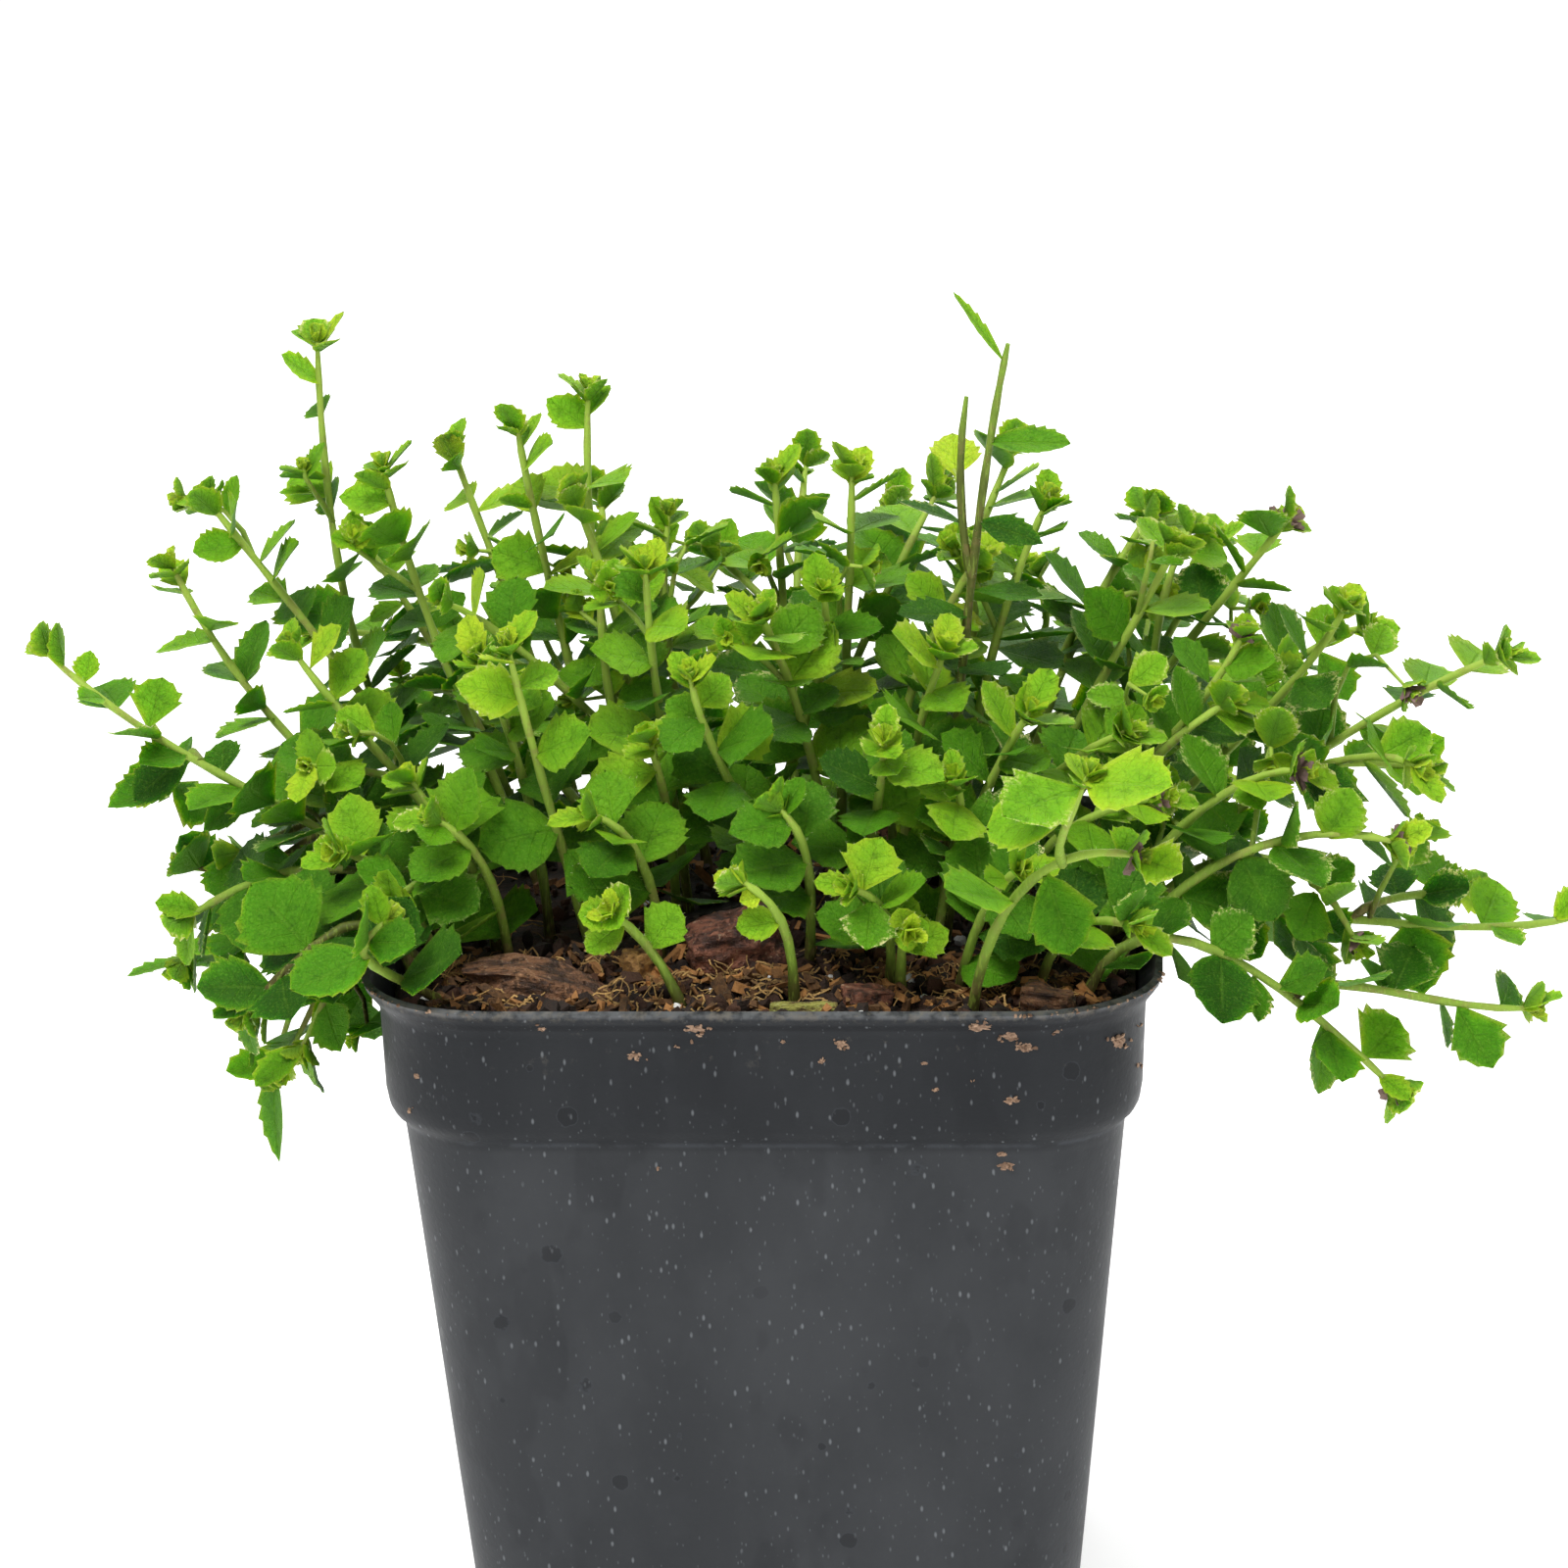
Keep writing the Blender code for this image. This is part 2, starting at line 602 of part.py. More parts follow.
def dress(plant, name, key, route, count, first, tufts, draw):
    """Leaves up one stem, left and right by turns, and small ones at its tip."""
    found = []
    hand = draw.choice((0, 180))
    for i in range(count):
        share = first + (0.9 - first) * (i + 0.4) / max(count, 1)
        age = 1 - YOUNG_SHRINK * max(0.0, (share - 0.5) / 0.5)
        length = LEAF_LENGTH * age * draw.uniform(0.88, 1.1)
        breadth = LEAF_BREADTH * draw.uniform(0.86, 1.06)
        turn = hand + 180 * i + draw.uniform(-34, 34)
        lean = draw.uniform(56, 84)
        found.append(
            plant.leaf(name, key, route, share, turn, lean, length, breadth, TOOTHED, draw)
        )
    if count:
        for i, share in enumerate(tufts):
            turn = hand + 90 + 180 * i + draw.uniform(-30, 30)
            length = TIP_LENGTH * draw.uniform(0.85, 1.15)
            lean = draw.uniform(30, 58)
            found.append(
                plant.leaf(name, key, route, share, turn, lean, length, TIP_BREADTH, PLAIN, draw)
            )
    return [leaf for leaf in found if leaf]


def back_specs():
    """Roots and tips of the stems at the back, in a fan with two heights by turns."""
    draw = random.Random(77)
    specs = []
    for i in range(BACK_COUNT):
        angle = math.radians(BACK_FROM + (BACK_TO - BACK_FROM) * (i + 0.5) / BACK_COUNT)
        way = Vector((math.cos(angle), math.sin(angle)))
        root = way * BACK_ROOT * draw.uniform(0.8, 1.08)
        low = i % 2
        reach = BACK_REACH[0] + (BACK_REACH[1] - BACK_REACH[0]) * draw.uniform(0.2, 1)
        tip = way * (BACK_ROOT + reach * (1 if low else 0.6))
        height = BACK_HEIGHT[1 - low] + draw.uniform(-8, 6)
        side = Vector((-way.y, way.x)) * draw.choice((-1, 1))
        shoot = root.lerp(tip, 0.7) + side * 13
        specs.append(
            (
                (root.x, root.y),
                (tip.x, tip.y, height),
                12 if low else 20,
                4 if low else -12,
                BACK_LEAVES,
                ((0.5, (shoot.x, shoot.y, height - 8), -3, 2),),
            )
        )
    return specs


def tube_object(route, radii):
    """A stem as a closed mesh, from a bevelled curve with its caps welded on."""
    curve = bpy.data.curves.new("stem", "CURVE")
    curve.dimensions = "3D"
    curve.bevel_depth = radii[0] * MM
    curve.bevel_resolution = 0
    curve.use_fill_caps = True
    spline = curve.splines.new("POLY")
    spline.points.add(len(route) - 1)
    for point, place, radius in zip(spline.points, route, radii):
        point.co = (*(place * MM), 1)
        point.radius = radius / radii[0]
    guide = bpy.data.objects.new("stem", curve)
    bpy.context.scene.collection.objects.link(guide)
    graph = bpy.context.evaluated_depsgraph_get()
    mesh = bpy.data.meshes.new_from_object(guide.evaluated_get(graph))
    bm = bmesh.new()
    bm.from_mesh(mesh)
    bmesh.ops.remove_doubles(bm, verts=bm.verts, dist=0.00001)
    bmesh.ops.recalc_face_normals(bm, faces=bm.faces)
    bmesh.ops.triangulate(bm, faces=bm.faces)
    bm.to_mesh(mesh)
    bm.free()
    tube = bpy.data.objects.new("stem", mesh)
    tube.matrix_world = guide.matrix_world
    bpy.data.objects.remove(guide)
    return tube


def blade_object(shape):
    bm = bmesh.new()
    points, faces = blade_shape(*shape)
    verts = [bm.verts.new(p) for p in points]
    for face in faces:
        bm.faces.new([verts[i] for i in face])
    bmesh.ops.triangulate(bm, faces=bm.faces)
    return finished(bm, "leaf", None)


def make_leafy_stem(parts, pieces, name, tubes, leaves, material):
    """One leafy stem: its tubes and blades, joined in one solid."""
    whole, *shoots = [tube_object(route, radii) for route, radii, *_ in tubes]
    whole.name = name
    whole.data.materials.clear()
    whole.data.materials.append(material)
    parts.objects.link(whole)
    for piece in shoots + [blade_object(shape) for shape in leaves]:
        helper(piece, pieces)
    if pieces.objects:
        join = whole.modifiers.new("Join", "BOOLEAN")
        join.operation = "UNION"
        join.operand_type = "COLLECTION"
        join.collection = pieces
        keep_modified(whole)
        drop(pieces.objects)
    merge_flat(whole)
    return whole


def stem_hole(route):
    """A cutter along the buried end of a stem, wider than it and open above the mix."""
    start, along = point_at(route, 0)
    bm = bmesh.new()
    bmesh.ops.create_cone(
        bm, cap_ends=True, segments=4, radius1=HOLE_RADIUS, radius2=HOLE_RADIUS, depth=HOLE_DEPTH
    )
    turn = along.to_track_quat("Z", "Y").to_matrix().to_4x4()
    place = Matrix.Translation(start + along * (HOLE_DEPTH / 2 - HOLE_GAP))
    bmesh.ops.transform(bm, matrix=place @ turn, verts=bm.verts)
    return finished(bm, "hole_cutter", None)


def mesh_of(obj):
    points = [v.co / MM for v in obj.data.vertices]
    return points, [tuple(p.vertices) for p in obj.data.polygons]


def main():
    drop(bpy.data.objects)
    scene = bpy.context.scene.collection
    parts = bpy.data.collections.new("potted_blue_star_creeper")
    cutters = bpy.data.collections.new("cutters")
    pieces = bpy.data.collections.new("pieces")
    for collection in (parts, cutters, pieces):
        scene.children.link(collection)

    plastic = plain_finish("pot_plastic", (0.035, 0.038, 0.043), 0.42)
    peat = plain_finish("potting_mix", (0.045, 0.026, 0.015), 0.95)
    bark = plain_finish("bark", (0.16, 0.065, 0.032), 0.8)
    moss = plain_finish("moss", (0.2, 0.19, 0.05), 0.9)
    leaf_green = plain_finish("leaf_green", (0.11, 0.3, 0.035), 0.5)

    pot = make_pot(parts, cutters, plastic)
    mix = make_mix(parts, peat)
    space = Space()
    space.add(*mesh_of(pot), "pot")
    space.add(*mesh_of(mix), "potting_mix")
    for spec in (*BARKS, TWIG):
        chip = finished(bark_mesh(spec, 0), spec[0], moss if spec is TWIG else bark)
        parts.objects.link(chip)
        space.add(*mesh_of(chip), spec[0])
        helper(finished(bark_mesh(spec, 2 * SEAT_GAP), "seat_cutter", None), cutters)

    for name, tubes, leaves in grow(space):
        make_leafy_stem(parts, pieces, name, tubes, leaves, leaf_green)
        helper(stem_hole(tubes[0][0]), cutters)

    seats = mix.modifiers.new("Holes", "BOOLEAN")
    seats.operation = "DIFFERENCE"
    seats.operand_type = "COLLECTION"
    seats.collection = cutters
    keep_modified(mix)
    drop(cutters.objects)
    merge_flat(mix)


main()
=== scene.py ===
import math
import random

import bmesh
import bpy
from mathutils import Matrix, Quaternion, Vector, noise
from mathutils.bvhtree import BVHTree
from mathutils.geometry import interpolate_bezier


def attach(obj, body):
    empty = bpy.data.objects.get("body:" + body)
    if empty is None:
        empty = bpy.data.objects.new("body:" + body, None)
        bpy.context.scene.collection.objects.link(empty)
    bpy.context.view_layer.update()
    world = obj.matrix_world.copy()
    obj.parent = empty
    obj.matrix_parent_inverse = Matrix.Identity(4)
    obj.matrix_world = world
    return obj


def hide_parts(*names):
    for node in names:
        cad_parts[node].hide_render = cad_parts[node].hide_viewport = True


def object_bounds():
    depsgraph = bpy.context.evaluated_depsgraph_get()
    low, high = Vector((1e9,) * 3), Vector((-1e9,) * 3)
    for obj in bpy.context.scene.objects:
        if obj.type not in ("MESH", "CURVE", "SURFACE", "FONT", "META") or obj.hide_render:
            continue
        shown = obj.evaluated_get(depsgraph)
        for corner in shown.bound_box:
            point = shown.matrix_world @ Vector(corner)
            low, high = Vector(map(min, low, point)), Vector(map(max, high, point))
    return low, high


# A potted blue star creeper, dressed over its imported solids.
# Lengths are millimetres until a piece is finished, and the front is -Y.

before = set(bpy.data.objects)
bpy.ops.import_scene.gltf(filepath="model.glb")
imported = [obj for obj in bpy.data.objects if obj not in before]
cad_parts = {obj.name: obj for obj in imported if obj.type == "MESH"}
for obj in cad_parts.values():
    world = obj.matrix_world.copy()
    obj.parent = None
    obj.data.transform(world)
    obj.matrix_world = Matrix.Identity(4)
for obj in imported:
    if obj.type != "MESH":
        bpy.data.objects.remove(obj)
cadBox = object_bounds()

mm = 0.001
up = Vector((0, 0, 1))
golden = 137.5  # degrees from one leaf of a tuft to the next


# Shader sums

class Socket:  # a shader value that takes part in plain sums
    def __init__(self, graph, output):
        self.graph = graph
        self.output = output

    def sum(self, operation, *values):
        return self.graph.add("Math", {"operation": operation}, dict(enumerate(values)))

    def __add__(self, other):
        return self.sum("ADD", self, other)

    def __sub__(self, other):
        return self.sum("SUBTRACT", self, other)

    def __rsub__(self, other):
        return self.sum("SUBTRACT", other, self)

    def __mul__(self, other):
        return self.sum("MULTIPLY", self, other)

    def __abs__(self):
        return self.sum("ABSOLUTE", self)

    __radd__ = __add__
    __rmul__ = __mul__


class Graph:  # the nodes of one material, whose colour is painted in layers
    def __init__(self, name, colours, constants):
        self.material = bpy.data.materials.new(name)
        self.material.use_nodes = True
        self.tree = self.material.node_tree
        self.colours = colours
        self.base = next(iter(colours.values()))  # the first colour lies under the others
        self.places = {}
        for socket, value in constants.items():
            self.set(socket, value)

    def add(self, kind, settings=None, sockets=None, output=0):
        node = self.tree.nodes.new("ShaderNode" + kind)
        for name, value in (settings or {}).items():
            setattr(node, name, value)
        for name, value in (sockets or {}).items():
            self.feed(node.inputs[name], value)
        return Socket(self, node.outputs[output])

    def feed(self, target, value):
        if isinstance(value, Socket):
            self.tree.links.new(value.output, target)
        elif target.type == "RGBA":
            target.default_value = (*value, 1)
        else:
            target.default_value = value

    def set(self, name, value):  # one input of the surface shader
        self.feed(self.tree.nodes["Principled BSDF"].inputs[name], value)

    def paint(self, colour, share):  # one more layer of colour over those so far
        sockets = {0: share, 6: self.base, 7: self.colours[colour]}
        self.base = self.add("Mix", {"data_type": "RGBA"}, sockets, 2)

    def finish(self):
        self.set("Base Color", self.base)
        return self.material

    def step(self, value, start, end):  # a soft step from 0 to 1 between two values
        return self.add("MapRange", {"interpolation_type": "SMOOTHSTEP"}, {0: value, 1: start, 2: end})

    def place(self, stretch=(1, 1, 1), turn=0):  # the place on the object, in millimetres
        if (stretch, turn) not in self.places:
            sockets = {"Vector": self.add("TexCoord", {}, {}, 3), "Rotation": (0, 0, math.radians(turn))}
            sockets["Scale"] = tuple(part / mm for part in stretch)
            self.places[stretch, turn] = self.add("Mapping", {}, sockets)
        return self.places[stretch, turn]

    def clouds(self, scale, detail=3.0, rough=0.55, stretch=(1, 1, 1), turn=0):
        sockets = {"Vector": self.place(stretch, turn), "Scale": scale, "Detail": detail, "Roughness": rough}
        return self.add("TexNoise", {}, sockets)

    def patches(self, start, end, *form, **more):  # clouds with a clear edge
        return self.step(self.clouds(*form, **more), start, end)

    def cells(self, scale, stretch=(1, 1, 1), feature="F1", output=0):
        sockets = {"Vector": self.place(stretch), "Scale": scale}
        return self.add("TexVoronoi", {"feature": feature}, sockets, output)

    def parts(self, colour):  # the three parts of a colour or a vector
        split = self.add("SeparateXYZ", {}, {0: colour})
        return [Socket(self, output) for output in split.output.node.outputs]

    def tint(self):  # what each vertex of a piece carries
        return self.parts(self.add("Attribute", {"attribute_name": "tint"}))

    def bump(self, height, distance):
        sockets = {"Height": height, "Distance": distance * mm, "Strength": 1.0}
        self.set("Normal", self.add("Bump", {}, sockets))


# Finishes

def makePotPlastic():
    colours = {
        "dark": (0.0085, 0.0098, 0.0118), "light": (0.0365, 0.0390, 0.0425), "speck": (0.22, 0.235, 0.25),
        "dust": (0.15, 0.135, 0.11), "spot": (0.004, 0.0045, 0.006), "ring": (0.045, 0.050, 0.058),
        "rim": (0.13, 0.135, 0.14),
    }
    heights = {
        "shoulder": (71.5, 69.8), "creaseHighlight": 71.2, "underLipShade": 86.2, "rim": (87.3, 87.95), "lip": (86.7, 88.2),
        "collar": (76.0, 88.0),
    }
    g = Graph("potPlastic", colours, {"Roughness": 0.4, "Specular IOR Level": 0.13})
    height = g.parts(g.place())[2]
    streak = g.patches(0.36, 0.7, 0.06, 4, stretch=(1, 1, 0.3))
    cloudy = g.patches(0.40, 0.62, 0.05, 5, 0.6, (1, 1, 0.7))
    # Below the shoulder the body is painted lighter, a painted reflection of the pale floor, with cloudy
    # mottling in it; the streaks are the plastic's own tone
    body = g.step(height, *heights["shoulder"])
    g.paint("light", streak * 0.22 + 0.19 + body * (0.42 + cloudy * 0.22))
    # Painted highlight in a pale line where the collar meets the body, painted shade in a darker line under
    # the lip, and a painted highlight along the rim
    creaseHighlight = g.step(abs(height - heights["creaseHighlight"]), 0.55, 0.05) * g.patches(0.36, 0.56, 0.3, 4)
    g.paint("ring", creaseHighlight * 0.5)
    # Painted shade: a darker band under the lip's overhang
    g.paint("spot", g.step(abs(height - heights["underLipShade"]), 0.7, 0.2) * 0.55)
    # Painted highlight: a pale sheen line along the top of the rim
    g.paint("rim", g.step(height, *heights["rim"]) * g.patches(0.3, 0.6, 0.5, 3) * 0.7)
    # Small pale specks in the plastic, drawn out upwards
    for size, low, share, high, strength in ((0.76, 0.18, 0.7, 0.52, 0.42), (1.35, 0.19, 1.3, 0.56, 0.22)):
        speck = g.step(g.cells(size, (1, 1, 0.45)), low, 0.05) * g.patches(0.34, high, share, 1)
        g.paint("speck", speck * strength)
    # Marks of dried water drops, each with a size of its own, and darker smears
    rough = (g.clouds(0.9, 4, 0.6) - 0.5) * 0.16
    marks = 0
    for scale, least, more, rare in ((0.10, 0.06, 0.10, 0.60), (0.19, 0.07, 0.17, 0.52)):
        chance = g.parts(g.cells(scale, output=1))
        edge = g.cells(scale) + rough - chance[0] * more - least
        shown = g.step(chance[1], rare, rare + 0.12)
        mark = g.step(edge, 0.02, -0.03) * shown
        g.paint("spot", mark * 0.42)
        g.paint("ring", g.step(abs(edge), 0.02, 0.0) * shown * 0.35)
        marks = mark + marks
    g.paint("spot", g.patches(0.56, 0.62, 0.09, 3, stretch=(1, 1, 0.5)) * 0.16)
    # Dust and peat dirt on the lip and a little below it
    lip = g.step(height, *heights["lip"]) * g.patches(0.46, 0.64, 0.7, 6, 0.7)
    below = g.step(height, *heights["collar"]) * g.patches(0.60, 0.72, 0.35, 6, 0.75)
    g.paint("dust", lip * 0.6 + below * 0.35)
    g.set("Roughness", 0.36 + 0.22 * g.clouds(0.12, 4) + 0.2 * lip - 0.10 * marks)
    g.bump(g.clouds(1.4) * 0.6 + g.clouds(0.1, 2), 0.08)
    return g.finish()


def makePeat(name, dark, light, red):
    g = Graph(name, {"dark": dark, "light": light, "red": red}, {"Roughness": 0.95})
    lumps = g.clouds(0.5, 6, 0.7)
    g.paint("light", g.step(lumps, 0.35, 0.75))
    g.paint("red", g.patches(0.55, 0.7, 0.16, 4) * 0.6 + g.tint()[0] * 0.4)
    g.bump(lumps + g.clouds(2.2) * 0.5, 0.5)
    return g.finish()


def makeBark(name, dark, mid, pale, heading):
    colours = {"dark": dark, "mid": mid, "pale": pale, "fleck": (0.42, 0.28, 0.17)}
    g = Graph(name, colours, {"Roughness": 0.7})
    grain = g.clouds(1.0, 6, 0.65, (0.18, 0.9, 0.7), -heading)
    g.paint("mid", g.step(grain * 0.6 + g.clouds(0.28, 4, 0.6) * 0.4, 0.40, 0.56))
    g.paint("pale", g.step(grain * 0.45 + g.clouds(0.7, 5, 0.65) * 0.55, 0.55, 0.66) * 0.75)
    g.paint("fleck", g.patches(0.60, 0.70, 1.6, 3, 0.7) * 0.7)
    pits = g.patches(0.46, 0.36, 0.9, 5, 0.7)
    g.paint("dark", pits * 0.8)
    g.set("Roughness", 0.36 + 0.4 * grain)
    g.bump(grain * 1.2 + g.clouds(1.3, 5, 0.65) * 0.9 - pits * 0.5, 0.7)
    return g.finish()


def makeMossyWood():
    colours = {"wood": (0.10, 0.055, 0.02), "moss": (0.30, 0.29, 0.06), "pale": (0.42, 0.46, 0.16)}
    g = Graph("mossyWood", colours, {"Roughness": 0.9})
    patch = g.clouds(0.9, 5, 0.7, (0.5, 1.4, 1.4))
    g.paint("moss", g.step(patch, 0.42, 0.55))
    g.paint("pale", g.patches(0.55, 0.7, 2.2, 3) * 0.7)
    g.bump(patch + g.clouds(3.0), 0.35)
    return g.finish()


def makeLoose(name, dark, light):  # small grains, each with a tint of its own
    g = Graph(name, {"dark": dark, "light": light}, {"Roughness": 0.85})
    g.paint("light", g.tint()[0] * 0.75 + g.clouds(1.2, 4) * 0.5 - 0.12)
    g.bump(g.clouds(2.4), 0.25)
    return g.finish()


def makeLeafSkin():
    colours = {
        "old": (0.016, 0.070, 0.003), "ripe": (0.066, 0.215, 0.005), "fresh": (0.18, 0.405, 0.011),
        "young": (0.42, 0.59, 0.022), "vein": (0.20, 0.40, 0.04), "cream": (0.74, 0.75, 0.28),
        "under": (0.13, 0.28, 0.035),
    }
    constants = {
        "Roughness": 0.5, "Specular IOR Level": 0.10, "Subsurface Weight": 0.3,
        "Subsurface Radius": (0.5, 1.0, 0.15), "Subsurface Scale": 0.001,
    }
    g = Graph("leafSkin", colours, constants)
    youth, cream, chance = g.tint()
    below = g.add("Attribute", {"attribute_name": "tint"}, {}, 3)
    reach, side, _ = g.parts(g.add("TexCoord", {}, {}, 2))
    side = abs(side - 0.5) * 2
    # The colour goes with a leaf's age, and changes a little over each leaf
    age = youth + (g.clouds(0.16) - 0.5) * 0.35
    for colour, start, end in (("ripe", 0.0, 0.36), ("fresh", 0.34, 0.66), ("young", 0.64, 1.0)):
        g.paint(colour, g.step(age, start, end))
    # A pale rib, side veins that lean forward, and a fine net between them
    rib = g.step(side, 0.085, 0.02) * g.step(reach, 0.98, 0.6)
    lines = reach * 5.2 - side * 1.5 + chance * 0.5
    vein = g.step(abs(lines.sum("FRACT", lines) - 0.5), 0.085, 0.02) * g.step(side, 1.0, 0.55)
    net = g.step(g.cells(1.5, feature="DISTANCE_TO_EDGE"), 0.06, 0.0)
    g.paint("vein", rib * 0.13 + vein * 0.05 + net * 0.05)
    down = g.clouds(3.2, 4, 0.75)
    g.paint("vein", g.step(down, 0.50, 0.68) * 0.30)
    g.paint("old", g.patches(0.48, 0.70, 0.55, 5, 0.7) * 0.42 + g.step(down, 0.48, 0.34) * 0.3)
    # Younger leaves turn yellow towards their margin and their base
    yellow = g.step(side, 0.1, 1.1) * 0.4 + g.step(reach, 0.3, 0.0) * 0.5
    g.paint("young", yellow * g.step(youth + chance * 0.25, 0.5, 1.0))
    # Pale dots near the margin, on some leaves only
    margin = g.step(side + reach * 0.35, 0.80, 1.18) * g.step(reach, 0.22, 0.5)
    g.paint("cream", g.step(cream, 0.35, 0.9) * margin * g.patches(0.46, 0.60, 2.3, 3, 0.65) * 0.9)
    g.paint("under", below * 0.7)
    g.set("Roughness", 0.44 + 0.16 * g.clouds(1.1) + 0.1 * below)
    g.bump(g.clouds(0.9) * 0.5 + down * 0.5 - rib * 0.5 - vein * 0.3 - net * 0.2, 0.3)
    return g.finish()


def makeStemSkin():
    colours = {
        "low": (0.085, 0.105, 0.018), "mid": (0.19, 0.30, 0.036), "tip": (0.33, 0.47, 0.065),
        "foot": (0.055, 0.035, 0.012), "scar": (0.24, 0.16, 0.07),
    }
    constants = {
        "Roughness": 0.5, "Specular IOR Level": 0.15, "Subsurface Weight": 0.2,
        "Subsurface Radius": (0.6, 1.0, 0.3), "Subsurface Scale": 0.001,
    }
    g = Graph("stemSkin", colours, constants)
    height, scars, _ = g.tint()
    share = height + (g.clouds(0.2) - 0.5) * 0.2
    g.paint("mid", g.step(share, 0.05, 0.3))
    foot = g.step(g.parts(g.place())[2], 96.0, 87.0) * g.step(share, 0.3, 0.1)
    g.paint("foot", foot * 0.7)
    g.paint("tip", g.step(share, 0.3, 1.0))
    g.paint("scar", scars * g.patches(0.5, 0.62, 0.5, 4))
    lines = g.clouds(1.6, stretch=(1.6, 1.6, 0.2))
    g.paint("tip", g.step(lines, 0.52, 0.66) * 0.35)
    g.bump(lines, 0.15)
    return g.finish()


def makePlain(name, colour, constants):  # one colour all over
    return Graph(name, {"all": colour}, constants).finish()


finishes = {
    "pot": makePotPlastic(),
    "mix": makePeat("peat", (0.005, 0.003, 0.002), (0.045, 0.021, 0.010), (0.09, 0.036, 0.015)),
    "bark": makeBark("barkSkin", (0.040, 0.017, 0.008), (0.20, 0.088, 0.036), (0.46, 0.25, 0.12), -14),
    "redBark": makeBark("redBarkSkin", (0.045, 0.016, 0.009), (0.22, 0.078, 0.040), (0.46, 0.23, 0.13), 18),
    "goldBark": makeBark("goldBarkSkin", (0.16, 0.07, 0.02), (0.50, 0.27, 0.075), (0.66, 0.47, 0.17), 50),
    "moss": makeMossyWood(),
    "crumb": makeLoose("peatCrumb", (0.005, 0.0028, 0.0015), (0.072, 0.026, 0.009)),
    "sliver": makeLoose("barkSliver", (0.012, 0.006, 0.0025), (0.52, 0.235, 0.066)),
    "fibre": makeLoose("strawFibre", (0.06, 0.026, 0.008), (0.68, 0.42, 0.14)),
    "perlite": makeLoose("perliteWhite", (0.55, 0.55, 0.52), (0.85, 0.86, 0.84)),
    "dirt": makeLoose("driedPeat", (0.10, 0.05, 0.026), (0.40, 0.26, 0.17)),
    "leaf": makeLeafSkin(),
    "stem": makeStemSkin(),
    "hair": makePlain("hairSkin", (0.50, 0.60, 0.26), {"Roughness": 0.5, "Specular IOR Level": 0.2}),
    "dried": makeLoose("driedBud", (0.09, 0.045, 0.05), (0.36, 0.24, 0.20)),
}
print("finishes:", len(finishes))


# Pieces

def clamped(value, low=0.0, high=1.0):
    return min(high, max(low, value))


def shapeOf(mesh):  # its points in millimetres, and its faces
    return [vert.co / mm for vert in mesh.vertices], [tuple(face.vertices) for face in mesh.polygons]


def nodeMesh(node):
    return shapeOf(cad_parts[node].data)


def meshOf(bm, name):
    mesh = bpy.data.meshes.new(name)
    bm.to_mesh(mesh)
    bm.free()
    return mesh


def shown(name, data):  # a new object of the scene
    thing = bpy.data.objects.new(name, data)
    bpy.context.scene.collection.objects.link(thing)
    return thing


def newMesh():
    bm = bmesh.new()
    bm.verts.layers.float_color.new("tint")
    bm.loops.layers.uv.new("sheet")
    return bm


def tinted(bm, verts, tint):
    layer = bm.verts.layers.float_color["tint"]
    for vert in verts:
        vert[layer] = tint


def finished(bm, name, materials, replaced=(), smooth=40):
    bmesh.ops.scale(bm, vec=(mm, mm, mm), verts=bm.verts)
    mesh = meshOf(bm, name)
    for material in materials:
        mesh.materials.append(finishes[material])
    mesh.shade_smooth()
    mesh.set_sharp_from_angle(angle=math.radians(smooth))
    piece = shown(name, mesh)
    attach(piece, "root")
    if replaced:
        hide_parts(*replaced)
    return piece


# Camera, as the photo was taken

view = {
    "imageSize": 1600, "lens": 134.8, "sensor": 36.0, "distance": 0.700, "azimuth": 3.9, "pitch": 15.6,
    "roll": 1.2, "aim": Vector((0.00105, 0, 0.1022)),
}


def makeCamera():
    azimuth, pitch = math.radians(view["azimuth"]), math.radians(view["pitch"])
    level = math.cos(pitch)
    back = Vector((math.sin(azimuth) * level, -math.cos(azimuth) * level, math.sin(pitch)))
    data = bpy.data.cameras.new("camera")
    data.lens = view["lens"]
    data.sensor_width = view["sensor"]
    data.clip_end = 30
    camera = shown("camera", data)
    camera.location = view["aim"] + back * view["distance"]
    camera.rotation_mode = "QUATERNION"
    roll = Quaternion(-back, math.radians(view["roll"]))
    camera.rotation_quaternion = roll @ (-back).to_track_quat("-Z", "Y")
    bpy.context.scene.camera = camera
    return camera


camera = makeCamera()


def sightOf(px, py):  # the camera's place and its line of sight through a pixel, in millimetres
    half = view["imageSize"] / 2
    wide = view["sensor"] / view["lens"] / 2
    ray = Vector(((px - half) / half * wide, (half - py) / half * wide, -1))
    return camera.location / mm, (camera.rotation_quaternion @ ray).normalized()


def pixelOf(point):  # where a point in millimetres shows in the photo
    seen = camera.rotation_quaternion.inverted() @ (point - camera.location / mm)
    half = view["imageSize"] / 2
    reach = half / (view["sensor"] / view["lens"] / 2) / -seen.z
    return Vector((half + seen.x * reach, half - seen.y * reach))


# Pot

pot = {
    "rings": (  # height, half width and corner radius, up the outside
        (0.0, 33.4, 9.1), (0.5, 34.4, 10.0), (1.4, 35.0, 10.5), (24.0, 37.2, 11.0), (47.0, 39.4, 11.5),
        (69.6, 41.6, 12.0), (70.9, 41.75, 12.0), (71.6, 42.2, 12.4), (72.3, 42.9, 12.9), (73.4, 43.45, 13.4),
        (75.2, 43.75, 13.6), (80.0, 43.95, 14.0), (84.6, 44.15, 14.35), (85.6, 44.5, 14.8),
        (86.4, 45.2, 15.5), (87.2, 45.8, 16.0), (88.0, 46.1, 16.3),
    ),
    "wall": 0.9, "cornerSteps": 10, "drainRadius": 3.5, "drainOffset": 21.0,
}


